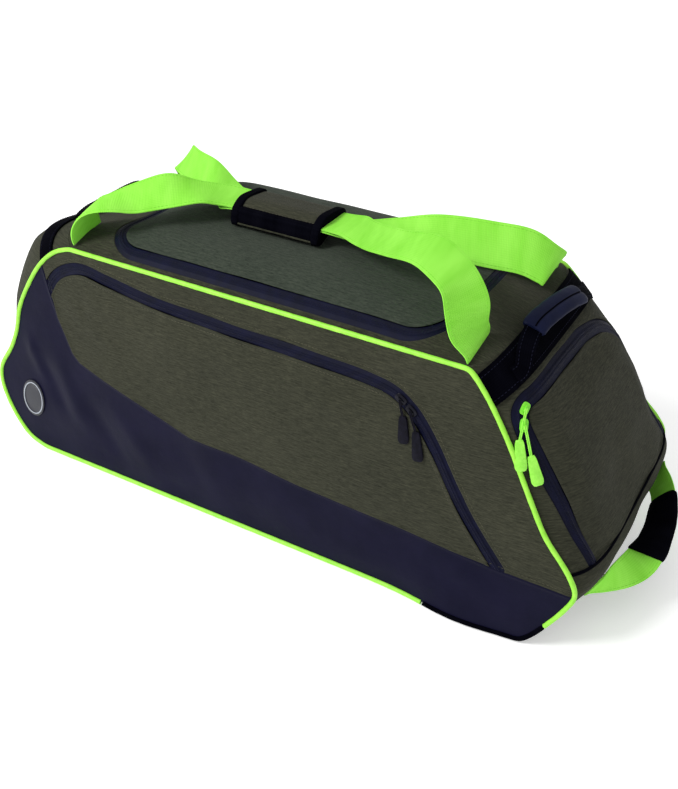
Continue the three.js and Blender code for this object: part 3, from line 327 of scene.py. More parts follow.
def end_point(end, side, share, folds=True):
    """An end: side runs from -1 in front to 1 behind, share from the floor to the top."""
    side, share = np.broadcast_arrays(np.asarray(side, float), np.asarray(share, float))
    z = height(share)
    crown = np.interp(share, rows[:, 0], rows[:, COLUMNS[end][1]])
    x = line_x(end_line[end], z) + OUT[end] * (CROWN[end] * crown * (1 - np.abs(side) ** 6))
    y = side * (half_width(z) - INSET)
    if folds:
        fade = np.clip((1 - np.abs(side)) * 6, 0, 1)
        fade = fade * np.clip((1 - share) * 10, 0, 1) * np.clip(share * 8, 0, 1)
        x = x + OUT[end] * fade * rough(end, y, z)
    return np.stack([x, y, z + shoulder(end, side, share)], -1)


def end_place(end, y, z, folds=True):
    """A point of an end seen from in front, from its y and z."""
    y, z = np.broadcast_arrays(np.asarray(y, float), np.asarray(z, float))
    flat = np.array(z)
    for _ in range(4):
        flat = z - shoulder(end, y / (half_width(flat) - INSET), share_of(flat))
    return end_point(end, y / (half_width(flat) - INSET), share_of(flat), folds)


def top_place(x, y, folds=True):
    x, y = np.broadcast_arrays(np.asarray(x, float), np.asarray(y, float))
    side = y / (TOP_WIDTH / 2 - INSET)
    left, right = (end_point(end, side, 1.0, False) for end in OUT)
    along = (x - left[..., 0] - TOP_GAP) / (right[..., 0] - left[..., 0] - 2 * TOP_GAP)
    rim = np.abs(2 * along - 1) ** 5
    dome = (1 - rim) * (1 - np.abs(side) ** 6)
    z = HIGH + rim * (left[..., 2] + along * (right[..., 2] - left[..., 2]) - HIGH) + TOP_RISE * dome
    if folds:
        fade = np.clip((1 - np.abs(side)) * 7, 0, 1) * np.clip((0.5 - np.abs(along - 0.5)) * 12, 0, 1)
        z = z + fade * rough("top", x, y)
    return np.stack([x, y, z], -1)


# Meshes

def outwards(grid, outward):
    """A grid's normals, on the side that looks outward."""
    found = unit(np.cross(np.gradient(grid, axis=0), np.gradient(grid, axis=1)))
    return -found if (found @ np.asarray(outward, float)).sum() < 0 else found


def lifted(grid, outward, amount):
    return grid + outwards(grid, outward) * np.asarray(amount)[..., None]


def slump(points):
    """How far the left shoulder sinks between its corners."""
    x, y, z = np.asarray(points, float).T
    sink = 18 * smooth_step(y, -130, 0) * (1 - 0.35 * smooth_step(y, 20, 130))
    return sink * smooth_step(-x, 170, 290) * smooth_step(z, 120, 290)


def grid_faces(columns, rows_, start=0, flip=False):
    index = np.arange(columns * rows_).reshape(columns, rows_) + start
    quads = np.stack([index[:-1, :-1], index[1:, :-1], index[1:, 1:], index[:-1, 1:]], -1).reshape(-1, 4)
    return (quads[:, ::-1] if flip else quads).tolist()


def ring_faces(rings, size, closed=False):
    """The quads between rings of points that follow each other."""
    faces = []
    for step in range(rings if closed else rings - 1):
        here, there = step * size, (step + 1) % rings * size
        for index in range(size):
            after = (index + 1) % size
            faces.append([here + index, here + after, there + after, there + index])
    return faces


def caps(rings, size):
    return [list(range(size))[::-1], [(rings - 1) * size + index for index in range(size)]]


def coons(bottom, right, top, left, shares):
    """Flat places inside four lines: bottom and top run one way, left and right run up."""
    u = np.linspace(0, 1, len(bottom))[:, None, None]
    v = shares[None, :, None]
    mix = (1 - v) * bottom[:, None] + v * top[:, None] + (1 - u) * left[None] + u * right[None]
    corners = (1 - u) * (1 - v) * bottom[0] + u * (1 - v) * bottom[-1] + (1 - u) * v * top[0] + u * v * top[-1]
    return mix - corners


def between(near, far, counts, shares):
    """Ruled ground between two lines made of as many stretches."""
    inner, outer = (joined(*map(even, lines, counts)) for lines in (near, far))
    share = shares[None, :, None]
    return inner[:, None] * (1 - share) + outer[:, None] * share


def edged(width, step, last=True):
    """Shares across a width, closer together at its sewn edges."""
    near = [0.0, 0.7, 1.7, 3.0, 4.4, 5.8, 8.5]
    high = [width - value for value in (near if last else [0.0])][::-1]
    count = max(int((high[0] - near[-1]) / step), 1)
    middle = np.linspace(near[-1], high[0], count + 1)[1:-1]
    return np.concatenate([near, middle, high]) / width


def sewn(places, rims, puff=0.0):
    """How cloth stands up at its seams: a rounded lip, a dent at the stitches, then level."""
    rise = np.zeros(places.shape[:2]) + puff
    for rim in rims:
        distance = distance_to(rim, places)
        lip = 0.9 * np.clip(distance / 1.0, 0, 1) ** 0.5 * np.exp(-((distance / 4.2) ** 2))
        rise = rise + lip - 0.35 * np.exp(-(((distance - SEAM_STITCH) / 0.9) ** 2))
    return rise


class Parts:
    """Several closed skins gathered into one mesh."""

    def __init__(self):
        self.points, self.uvs, self.faces, self.count = [], [], [], 0

    def add(self, points, uvs, faces):
        points = np.asarray(points, float).reshape(-1, 3)
        self.points.append(points)
        self.uvs.append(np.asarray(uvs, float).reshape(-1, 2))
        self.faces += [[int(index) + self.count for index in each] for each in faces]
        self.count += len(points)

    def skin(self, grid, uv, outward, thick=CLOTH):
        """A closed cloth whose outer face is the grid."""
        inner = grid - outwards(grid, outward) * thick
        columns, rows_ = grid.shape[:2]
        count = columns * rows_
        faces = grid_faces(columns, rows_) + grid_faces(columns, rows_, count, True)
        index = np.arange(count).reshape(columns, rows_)
        for edge in (index[:, 0], index[-1, :], index[::-1, -1], index[0, ::-1]):
            faces += [[b, a, a + count, b + count] for a, b in zip(edge[:-1], edge[1:])]
        self.add(np.concatenate([grid.reshape(-1, 3), inner.reshape(-1, 3)]),
                 np.concatenate([uv.reshape(-1, 2)] * 2), faces)

    def tube(self, centres, across, out, section, closed=False):
        """A section of (across, out) pairs carried along. It may differ at each centre."""
        count = len(centres)
        section = np.asarray(section, float)
        if section.ndim == 2:
            section = np.repeat(section[None], count, 0)
        size = section.shape[1]
        points = centres[:, None] + across[:, None] * section[..., :1] + out[:, None] * section[..., 1:]
        uvs = np.stack([np.broadcast_to(run_of(centres)[:, None], (count, size)), section[..., 0]], -1)
        self.add(points, uvs, ring_faces(count, size, closed) + ([] if closed else caps(count, size)))

    def plate(self, centre, across, along, out, outline, low, high, bevel=0.7):
        """A plate with softened rims from an outline in (across, along) pairs."""
        outline = np.asarray(outline, float)
        middle = outline.mean(0)
        reach = outline - middle
        length = np.linalg.norm(reach, axis=1)[:, None]
        points = []
        for level, inset in ((low, bevel), (low + bevel * 0.6, 0), (high - bevel * 0.6, 0), (high, bevel)):
            flat = middle + reach * (1 - inset / np.maximum(length, inset + 0.5))
            points.append(centre + flat[:, :1] * across + flat[:, 1:] * along + level * out)
        points = np.concatenate(points)
        self.add(points, points[:, :2], ring_faces(4, len(outline)) + caps(4, len(outline)))

    def make(self, name, material, nodes=(), sharp=40):
        mesh = bpy.data.meshes.new(name)
        points = np.concatenate(self.points)
        points[:, 2] -= slump(points)
        mesh.from_pydata((points * MM).tolist(), [], self.faces)
        layer = mesh.uv_layers.new(name="UVMap")
        loops = np.empty(len(mesh.loops), dtype=np.int32)
        mesh.loops.foreach_get("vertex_index", loops)
        layer.data.foreach_set("uv", (np.concatenate(self.uvs)[loops] * MM).astype(np.float32).ravel())
        work = bmesh.new()
        work.from_mesh(mesh)
        bmesh.ops.recalc_face_normals(work, faces=work.faces)
        for each in work.faces:
            each.smooth = True
        work.to_mesh(mesh)
        work.free()
        mesh.set_sharp_from_angle(angle=math.radians(sharp))
        mesh.materials.append(material)
        thing = bpy.data.objects.new(name, mesh)
        bpy.context.scene.collection.objects.link(thing)
        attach(thing, "root")
        if nodes:
            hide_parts(*nodes)
        return thing


def sheet(name, grid, uv, outward, material, node_name, thick=CLOTH, sharp=40):
    parts = Parts()
    parts.skin(grid, uv, outward, thick)
    parts.make(name, material, (node_name,), sharp)


def rod(name, frames, section, material, nodes=(), sharp=80, closed=False):
    parts = Parts()
    parts.tube(*frames, section, closed)
    return parts.make(name, material, nodes, sharp)


def strip_uv(run, across):
    return np.stack(np.broadcast_arrays(run[:, None], across[None]), -1)


stitch_lines = {"olive": [], "lime": [], "dark": []}


def stitches_on(line, away, kind, pitch=4.6, length=3.0):
    """Single stitches of thread along a line of points in space."""
    run = run_of(line)
    for index in range(int(run[-1] / pitch)):
        start = (index + 0.5) * pitch - length / 2
        stitch_lines[kind].append([
            (looked_up(place, run, line), unit(looked_up(place, run, away)))
            for place in (start, start + length / 2, start + length)
        ])


# Materials

def linear(colour):
    return tuple(c / 255 / 12.92 if c <= 10 else ((c / 255 + 0.055) / 1.055) ** 2.4 for c in colour)


class Finish:
    """One material, with the few kinds of node that the finishes need."""

    def __init__(self, name, **sockets):
        self.material = bpy.data.materials.new(name)
        self.material.use_nodes = True
        self.tree = self.material.node_tree
        self.shader = self.tree.nodes["Principled BSDF"]
        for key, value in sockets.items():
            key = "Specular IOR Level" if key == "gloss" else key.replace("_", " ").title()
            self.shader.inputs[key].default_value = value

    def link(self, output, key):
        self.tree.links.new(output, self.shader.inputs[key])

    def node(self, kind, values=(), **settings):
        made = self.tree.nodes.new(kind)
        for key, value in settings.items():
            setattr(made, key, value)
        for key, value in dict(values).items():
            if isinstance(value, bpy.types.NodeSocket):
                self.tree.links.new(value, made.inputs[key])
            else:
                made.inputs[key].default_value = value
        return made

    def cloth(self, along=1, across=1, turned=0.0):
        """Places on the cloth in metres, stretched and turned."""
        place = self.node("ShaderNodeTexCoord").outputs["UV"]
        values = {"Vector": place, "Scale": (along, across, 1), "Rotation": (0, 0, turned)}
        return self.node("ShaderNodeMapping", values).outputs["Vector"]

    def noise(self, vector, scale=1.0, detail=3.0, uneven=0.6):
        values = {"Vector": vector, "Scale": scale, "Detail": detail, "Roughness": uneven}
        return self.node("ShaderNodeTexNoise", values).outputs["Fac"]

    def wave(self, vector, period, direction="X", distortion=0.0):
        """Bands at a period in millimetres."""
        values = {"Vector": vector, "Scale": 2 * math.pi / (20 * period * MM), "Distortion": distortion}
        return self.node("ShaderNodeTexWave", values, bands_direction=direction).outputs["Fac"]

    def calc(self, operation, a, b=0.0):
        return self.node("ShaderNodeMath", {0: a, 1: b}, operation=operation).outputs[0]

    def mix(self, *terms, total=None):
        """Fields added up, each times its weight."""
        for field, weight in terms:
            part = self.calc("MULTIPLY", field, weight)
            total = part if total is None else self.calc("ADD", total, part)
        return total

    def colour(self, fac, places, colours):
        made = self.node("ShaderNodeValToRGB", {"Fac": fac})
        elements = made.color_ramp.elements
        while len(elements) < len(places):
            elements.new(0.5)
        for element, place, colour in zip(elements, places, colours):
            element.position = place
            element.color = (*linear(colour), 1)
        self.link(made.outputs["Color"], "Base Color")

    def bump(self, high, strength, distance):
        made = self.node("ShaderNodeBump", {"Height": high, "Strength": strength, "Distance": distance})
        self.link(made.outputs["Normal"], "Normal")
        return self.material


def canvas(name, colours, along, across):
    """A heathered canvas: long thin streaks of darker and lighter yarn over a fine weave."""
    made = Finish(name, roughness=0.86, gloss=0.08, sheen_weight=0.04, sheen_roughness=0.5)
    fine = made.noise(made.cloth(along * 3.2, across * 2.4), 1.0, 2.0, 0.65)
    broad = made.noise(made.cloth(along, across))
    patch = made.noise(made.cloth(7, 11), 1.0, 2.0, 0.5)
    made.colour(made.mix((fine, 0.42), (broad, 0.46), (patch, 0.12)), (0.36, 0.50, 0.66), colours)
    warp = made.wave(made.cloth(), 1.1, "X", 0.6)
    weft = made.wave(made.cloth(), 0.9, "Y", 0.6)
    return made.bump(made.mix((warp, weft), (fine, 0.8)), 0.5, 0.0004)


def coated(name, colours, roughness=0.46):
    """A coated cloth: smooth and a little glossy, with a pebbled grain and faint scuffs."""
    made = Finish(name, gloss=0.07)
    place = made.cloth()
    patch = made.noise(place, 16.0, 5.0)
    made.colour(patch, (0.35, 0.72), colours)
    made.link(made.mix((patch, 0.2), total=roughness - 0.10), "Roughness")
    fine, soft = made.noise(place, 900.0, 2.0, 0.5), made.noise(place, 45.0, 3.0, 0.55)
    return made.bump(made.mix((fine, 0.25), (soft, 1.3)), 0.35, 0.0012)


def woven(name, colours, roughness=0.7, rib=1.9, gloss=0.06):
    """Woven webbing: ribs across and a finer twill on them."""
    made = Finish(name, roughness=roughness, gloss=gloss)
    place = made.cloth()
    ribs, lines = made.wave(place, rib, "X", 0.15), made.wave(place, 2.6, "Y", 0.1)
    twill = made.wave(made.cloth(turned=0.7), 1.3, "X", 0.2)
    uneven = made.noise(made.cloth(40, 12))
    made.colour(made.mix((twill, 0.16), (lines, 0.10), (uneven, 0.75)), (0.28, 0.72), colours)
    return made.bump(made.mix((ribs, 0.8), (twill, 0.5)), 0.5, 0.0005)


def toothed(name, colours):
    """Zip tape: a tight weave, with teeth across its raised middle."""
    made = Finish(name, roughness=0.55, gloss=0.12)
    place = made.cloth()
    across = made.node("ShaderNodeSeparateXYZ", {"Vector": place}).outputs["Y"]
    middle = made.calc("LESS_THAN", made.calc("ABSOLUTE", across), 0.0024)
    weave = made.wave(made.cloth(turned=0.785), 0.8, "X", 0.3)
    made.colour(made.noise(place, 60.0), (0.3, 0.75), colours)
    return made.bump(made.mix((made.wave(place, 1.5), middle), (weave, 0.25)), 0.6, 0.0006)


def plain(name, colours, roughness, grain, metal=0.0, gloss=0.5):
    """Moulded rubber, plastic or painted metal with a fine grain and uneven gloss."""
    made = Finish(name, metallic=metal, gloss=gloss)
    patch = made.noise(made.node("ShaderNodeTexCoord").outputs["Object"], grain)
    made.colour(patch, (0.3, 0.75), colours)
    made.link(made.mix((patch, 0.2), total=roughness - 0.1), "Roughness")
    return made.bump(patch, 0.3, 0.0002)


olive = canvas("olive_canvas", ((35, 36, 28), (52, 53, 42), (70, 70, 56)), 62, 640)
lid_olive = canvas("lid_canvas", ((38, 45, 37), (55, 62, 53), (70, 76, 65)), 70, 460)
tarpaulin = coated("navy_tarpaulin", ((10, 10, 33), (19, 18, 42)))
base_cloth = coated("base_cloth", ((12, 12, 16), (24, 24, 30)), 0.5)
sleeve_cloth = coated("sleeve_cloth", ((10, 15, 38), (22, 27, 54)), 0.5)
zip_tape = toothed("zip_tape", ((4, 6, 26), (10, 13, 42)))
lime = woven("lime_webbing", ((128, 218, 58), (160, 242, 90)))
black = woven("black_webbing", ((0, 0, 3), (8, 8, 16)), 0.85, 1.9, 0.015)
binding = woven("black_binding", ((0, 0, 3), (9, 9, 17)), 0.85, 1.2, 0.015)
thread = {
    "olive": woven("olive_thread", ((60, 60, 50), (98, 96, 80)), 0.85, 0.8),
    "lime": woven("lime_thread", ((120, 205, 50), (150, 235, 80)), 0.8, 0.8),
    "dark": woven("dark_thread", ((14, 15, 30), (34, 35, 52)), 0.8, 0.8),
}
piping_cord = plain("lime_piping", ((140, 222, 50), (168, 242, 78)), 0.5, 120.0)
slider_metal = plain("black_slider", ((18, 18, 24), (38, 38, 46)), 0.35, 300.0, 0.6, 0.2)
lime_metal = plain("lime_slider", ((110, 215, 40), (140, 240, 60)), 0.4, 300.0, 0.1)
pull_rubber = plain("black_rubber", ((8, 8, 16), (20, 19, 32)), 0.45, 240.0, gloss=0.07)
lime_rubber = plain("lime_rubber", ((140, 232, 60), (168, 250, 90)), 0.5, 240.0)
badge_rubber = plain("badge_rubber", ((22, 24, 34), (34, 36, 46)), 0.4, 200.0)
badge_rim = plain("badge_rim", ((150, 155, 165), (185, 190, 200)), 0.4, 200.0)

# Seams and edges of the long faces, as (x, z) lines

seam = np.stack([lower_seam[:, 0] * HALF, height(lower_seam[:, 1])], 1)
pocket = even(curve(np.stack([pocket_rows[:, 0] * HALF, height(pocket_rows[:, 1])], 1), 220), 420)
left_side, right_side = tuck_edge["left"], tuck_edge["right"]
seam_left, seam_right = crossing(seam, left_side), crossing(seam[::-1], right_side)
seam_run = cut_line(seam, seam_left, seam_right)
floor_left, floor_right = left_side[0], right_side[0]
roof_left, roof_right = left_side[-1], right_side[-1]
roof = np.array([roof_left, roof_right])


def seam_cut(distance):
    """The zip line moved sideways, cut where it meets the seam, at both ends."""
    line = sideways(pocket, distance)
    line = even(np.concatenate([[line[0] - (0, 40)], line, [line[-1] - (0, 40)]]), 700)
    first, last = crossing(line, seam), crossing(line[::-1], seam)
    return cut_line(line, first, last), first, last


zip_outer = seam_cut(ZIP / 2)[0]
zip_inner, inner_first, inner_last = seam_cut(-ZIP / 2)


# The front and the back: tarpaulin below, olive above, and the front's pocket with its zip

def long_skin(name, places, material, rims, side=-1, puff=0.0):
    outward = (0, side, 0)
    grid = lifted(face(side, places[..., 0], places[..., 1]), outward, sewn(places, rims, puff))
    sheet(name, grid, places, outward, material, f"{name}_panel")


shares = edged(170, 4.0)
seam_even = even(seam_run, 190)
lower_places = coons(
    np.linspace(floor_left, floor_right, 190), by_share(cut_line(right_side, floor_right, seam_right), shares),
    seam_even, by_share(cut_line(left_side, floor_left, seam_left), shares), shares,
)
long_skin("front_lower", lower_places, tarpaulin, [seam_run])
left_rise = cut_line(left_side, seam_left, roof_left)
border = between(
    split(zip_outer, (-285, 290), (200, 262)),
    [left_rise, roof, cut_line(right_side[::-1], roof_right, seam_right)], (24, 150, 80), edged(34, 4.0),
)
long_skin("front_border", border, olive, [zip_outer])
pocket_seam = cut_line(seam, inner_first, inner_last)
pocket_places = between([pocket_seam], [zip_inner], (210,), edged(110, 3.6))
long_skin("front_pocket", pocket_places, olive, [zip_inner, pocket_seam],
          puff=2.2 * smooth_step(distance_to(zip_inner, pocket_places), 2, 34))

# Across a zip: how far from its middle, as a share of its half, and how high
ZIP_ACROSS = np.array([0.03, 0.11, 0.27, 0.36, 0.42, 0.66, 0.86, 1])
ZIP_HIGH = np.array([0.7, 1.3, 1.1, 0.3, -0.2, -0.2, -0.5, -1.0])
ZIP_ACROSS = np.concatenate([-ZIP_ACROSS[::-1], ZIP_ACROSS])
ZIP_HIGH = np.concatenate([ZIP_HIGH[::-1], ZIP_HIGH])[None]
ZIP_MIDDLE = 7


def zip_places(width, line_at, count=None):
    """A zip's flat places and its cloth places, from its line at each distance."""
    across = ZIP_ACROSS * (width / 2)
    lines = [line_at(distance) for distance in across]
    places = np.stack([even(line, count) for line in lines] if count else lines, 1)
    return places, strip_uv(run_of(places[:, ZIP_MIDDLE]), across)


places, uv = zip_places(ZIP, lambda distance: seam_cut(distance)[0], 420)
grid = lifted(face(-1, places[..., 0], places[..., 1], False), (0, -1, 0), ZIP_HIGH)
sheet("front_zip", grid, uv, (0, -1, 0), zip_tape, "front_pocket_zip", TAPE, 60)

long_skin("back_lower", lower_places, tarpaulin, [seam_run], 1)
shares = edged(150, 4.0)
upper_places = coons(
    seam_even, by_share(cut_line(right_side, seam_right, roof_right), shares), even(roof, 190),
    by_share(left_rise, shares), shares,
)
long_skin("back_upper", upper_places, olive, [seam_run], 1)

# The top: a surround, the lid's zip and the lid

lid_left, lid_right = LID["left"] * HALF, LID["right"] * HALF
lid_front, lid_back, lid_corner = (LID[edge] * TOP_WIDTH / 2 for edge in ("front", "back", "corner"))


def arc(x, y, radius, start, count=24):
    angle = start + np.linspace(0, math.pi / 2, count)
    return np.stack([x + radius * np.cos(angle), y + radius * np.sin(angle)], 1)


def lid_lines(distance):
    """The lid's outline moved out: its left side, its front and its right side."""
    radius = lid_corner + distance
    left = arc(lid_left + lid_corner, lid_front + lid_corner, radius, math.pi)
    right = arc(lid_right - lid_corner, lid_front + lid_corner, radius, 1.5 * math.pi)
    middle = len(left) // 2
    return (
        joined(np.array([[lid_left - distance, lid_back], left[0]]), left[: middle + 1]),
        joined(left[middle:], right[: middle + 1]),
        joined(right[middle:], np.array([right[-1], [lid_right + distance, lid_back]])),
    )


def top_skin(name, places, material, node_name, rise, folds=True, uv=None, thick=CLOTH):
    grid = top_place(places[..., 0], places[..., 1], folds) + rise[..., None] * np.array([0, 0, 1.0])
    sheet(name, grid, places if uv is None else uv, (0, 0, 1), material, node_name, thick)


wide = TOP_WIDTH / 2 - TUCK
across_y = np.linspace(-wide, wide, 90)
across_side = across_y / (TOP_WIDTH / 2 - INSET)
rim_left, rim_right = (
    np.stack([end_point(end, across_side, 1.0, False)[..., 0] - OUT[end] * 0.5, across_y], 1) for end in OUT
)
side_a, front_line, side_b = lid_lines(ZIP / 2)
ring_places = between(
    [side_a, front_line, side_b, np.array([side_b[-1], side_a[0]])],
    [rim_left[::-1], np.array([rim_left[0], rim_right[0]]), rim_right, np.array([rim_right[-1], rim_left[-1]])],
    (70, 130, 70, 130), edged(30, 4.0, False),
)
rims = [joined(side_a, front_line, side_b)]
top_skin("top_surround", ring_places, olive, "top_panel", sewn(ring_places, rims))
places, uv = zip_places(ZIP, lambda distance: joined(*map(even, lid_lines(distance), (90, 150, 90))))
top_skin("lid_zip_tape", places, zip_tape, "lid_zip", ZIP_HIGH, False, uv, TAPE)
side_a, front_line, side_b = lid_lines(-ZIP / 2)
shares = edged(200, 4.0, False)
lid_places = coons(
    even(front_line, 110), by_share(side_b, shares), even(np.array([side_a[0], side_b[-1]]), 110),
    by_share(side_a[::-1], shares), shares,
)
rim = joined(side_a, front_line, side_b)
lid_puff = 2.4 * smooth_step(distance_to(rim, lid_places), 2, 40)
top_skin("lid", lid_places, lid_olive, "lid_panel", sewn(lid_places, [rim], lid_puff))

# The ends

END_LOW = share_of(3.4)


def end_skin(parts, end, sides, shares, rise=0.0, folds=True, uv=None, thick=CLOTH):
    outward = (OUT[end], 0, 0)
    grid = lifted(end_point(end, sides, shares, folds), outward, rise)
    parts.skin(grid, grid[..., 1:] if uv is None else uv, outward, thick)


def end_grid(columns, reach, top, count):
    """An end's sides and shares up to a height, closer together at its edges."""
    sides = np.sin(math.pi * (np.linspace(0, 1, columns) - 0.5)) * reach
    return np.meshgrid(sides, np.linspace(END_LOW, top, count), indexing="ij")


def flat_end(places):
    """End places (y, z) as sides and shares."""
    z = places[..., 1]
    return places[..., 0] / (half_width(z) - INSET), share_of(z)


parts = Parts()
end_skin(parts, "left", *end_grid(100, 1.008, 1, 96))
parts.make("left_end", olive, ("left_end_panel",))

end_zip = np.stack([
    end_rows[:, 0] * (half_width(height(end_rows[:, 1])) - INSET), height(end_rows[:, 1]),
], 1)
end_zip = even(curve(end_zip, 200), 420)
pocket_floor = end_zip[0][1]


def end_cut(distance):
    """The end zip's line moved sideways, both its ends on the pocket's floor."""
    line = sideways(end_zip, distance)
    line[0][1] = line[-1][1] = pocket_floor
    return line


ring_in = end_cut(END_ZIP / 2)
edge_y, floor_y = half_width(HIGH) - INSET + 1, half_width(pocket_floor) - INSET + 1
rim = [np.array(corner) for corner in (
    (-floor_y, pocket_floor), (-edge_y, HIGH), (edge_y, HIGH), (floor_y, pocket_floor))]
places = between(split(ring_in, (-150, 262), (150, 262)), [np.array(pair) for pair in zip(rim[:-1], rim[1:])],
                 (60, 110, 60), edged(34, 3.5, False))
parts = Parts()
end_skin(parts, "right", *flat_end(places), sewn(places, [ring_in]))
end_skin(parts, "right", *end_grid(90, 1.006, share_of(pocket_floor), 34))
parts.make("right_end", olive, ("right_end_panel",))

places, uv = zip_places(END_ZIP, end_cut, 320)
parts = Parts()
end_skin(parts, "right", *flat_end(places), ZIP_HIGH, False, uv, TAPE)
parts.make("end_zip", zip_tape, ("end_pocket_zip",), 60)

pocket_line = end_cut(-END_ZIP / 2)
rise_a, roof_b, rise_c = split(pocket_line, (-135, 252), (135, 252))
pocket_base = np.array([pocket_line[-1], pocket_line[0]])
shares = edged(150, 3.6)
places = coons(even(pocket_base[::-1], 90), by_share(rise_c[::-1], shares), even(roof_b, 90),
               by_share(rise_a, shares), shares)
rim = joined(pocket_line, pocket_base)
puff = 2.6 * smooth_step(distance_to(rim, places), 2, 30)
parts = Parts()
end_skin(parts, "right", *flat_end(places), sewn(places, [rim], puff))
parts.make("end_pocket", olive, ("end_pocket_panel",))


# The piping round both long faces

def loop_frames(side):
    left, right = end_line["left"], end_line["right"]
    pairs = joined(right, np.array([right[-1], left[-1]]), left[::-1], np.array([left[0], right[0]]))
    pairs = even(pairs, 620)[:-1]
    pairs = sum(np.roll(pairs, step, 0) * (3 - abs(step)) for step in (-2, -1, 0, 1, 2)) / 9
    y = half_width(pairs[:, 1]) + sag(side, pairs[:, 0], pairs[:, 1])
    centres = np.stack([pairs[:, 0], side * y, pairs[:, 1]], 1)
    along = unit(np.roll(centres, -1, 0) - np.roll(centres, 1, 0))
    across = unit(np.array([0, side, 0.0]) - along * (along @ np.array([0, side, 0.0]))[:, None])
    return centres, across, np.cross(along, across)


def round_section(wide, high, sides, square=2.0):
    angle = 2 * math.pi * np.arange(sides) / sides
    pairs = np.stack([np.cos(angle), np.sin(angle)], 1)
    return (wide, high) * (np.sign(pairs) * np.abs(pairs) ** (2 / square))


def dark_corner(points):
    """Where black edging takes the piping's place."""
    low = (points[:, 0] > 236) & (points[:, 2] < 4.6)
    return low | ((points[:, 0] > 300) & (points[:, 2] < height(0.095)))


for side, label in ((-1, "front"), (1, "back")):
    loop = loop_frames(side)
    run = np.arange(len(loop[0])) * np.linalg.norm(loop[0][1] - loop[0][0])
    swell = 1 + 0.025 * np.sin(run / 3.1) + 0.03 * waves(run, run * 0, 5, 20, 90)
    dark = dark_corner(loop[0])
    for ending, keep, material in (("piping", ~dark, piping_cord), ("edging", dark, binding)):
        order = np.where(keep)[0]
        gap = np.where(np.diff(order) > 1)[0]
        if len(gap):
            order = np.concatenate([order[gap[0] + 1:], order[:gap[0] + 1]])
        section = round_section(PIPING, PIPING, 12)[None] * swell[order][:, None, None]
        rod(f"{label}_{ending}", [values[order] for values in loop], section, material,
            (f"piping_{label}",), closed=len(order) == len(run))

# A bound seam across the right end, under its pocket

side = np.linspace(-0.995, 0.995, 150)
line = end_point("right", side, share_of(pocket_floor - 1.0), False)
away = end_point("right", side, share_of(pocket_floor + 3), False) - line
away = unit(np.cross(np.gradient(line, axis=0), away))
along = unit(np.gradient(line, axis=0))
rod("end_seam", (line + away * 0.9, np.cross(away, along), away), round_section(1.9, 1.1, 10), binding)


# Strips of webbing

def frames_from(centres, widths, slanted=False):
    along = np.gradient(centres, axis=0)
    along[0], along[-1] = centres[1] - centres[0], centres[-1] - centres[-2]
    along, widths = unit(along), unit(widths)
    slant = (widths * along).sum(1)
    square = unit(widths - along * slant[:, None])
    if slanted:
        return centres, widths * np.minimum(1.25, 1 / np.sqrt(1 - slant**2))[:, None], np.cross(along, square)
    return centres, square, np.cross(along, square)


def strip_section(width, thick, columns=15, edge=1.0):
    """A flat weave with thinner edges."""
    across = np.linspace(-1, 1, columns)
    half = thick / 2 * (1 - 0.35 * np.clip((np.abs(across) * width / 2 - (width / 2 - edge)) / edge, 0, 1))
    upper = np.stack([across * width / 2, half], 1)
    return np.concatenate([upper, upper[::-1] * (1, -1)])


def strip(name, frames, width, material, node_name, threads, inset):
    centres, across, out = frames
    rod(name, frames, strip_section(width, WEBBING), material, (node_name,), 60)
    for way in (-1, 1):
        for up in (-1, 1):
            line = centres + across * way * (width / 2 - inset) + out * up * WEBBING / 2
            stitches_on(line, out * up, threads)


# Each end's webbing: its way up the shoulder, its stretch, its handle's share of height, rise,
# spread, settling and width, then the ways that the handle rises
slopes = {"left": np.array([0.85, 0, 0.53]), "right": np.array([-0.68, 0, 0.73])}
band_levels = {"left": (14, 40), "right": (0, 37)}
grab = {"left": (0.985, 14, 0.64, 2.35, 26), "right": (0.940, 29, 1.00, 0, 20)}
grab_rows = {
    "left": np.array([
        [-0.80, 0.03], [-0.72, 0.07], [-0.56, 0.52], [-0.34, 0.90], [0.00, 1.00], [0.34, 1.00], [0.56, 0.80],
        [0.72, 0.16], [0.80, 0.03],
    ]),
    "right": np.array([
        [-0.80, 0.03], [-0.72, 0.08], [-0.56, 0.55], [-0.36, 0.92], [-0.10, 1.00], [0.18, 0.92], [0.42, 0.66],
        [0.60, 0.34], [0.73, 0.08], [0.80, 0.03],
    ]),
}


def end_band(end, along):
    """The webbing over a shoulder, following the cloth."""
    outward = (OUT[end], 0, 0)
    top = min(end_point(end, side, 1.0, False) @ along for side in (1.0, 0.0)) - 0.4
    columns = np.sin(math.pi * (np.linspace(0, 1, 110) - 0.5)) * 0.997
    points = end_point(end, *np.meshgrid(columns, np.linspace(0.4, 1.0, 400), indexing="ij"), False)
    points = lifted(points, outward, REST + WEBBING)
    levels = np.linspace(*band_levels[end], 16)
    grid = np.array([looked_up(top - levels, column @ along, column) for column in points])
    uv = strip_uv(grid[:, 8, 1], levels - 20)
    sheet(f"{end}_band", grid, uv, (OUT[end], 0, 0.3), black, f"{end}_end_webbing", 1.9, 60)
    away = outwards(grid, outward)
    for column in (2, 13):
        stitches_on(grid[:, column], away[:, column], "dark")


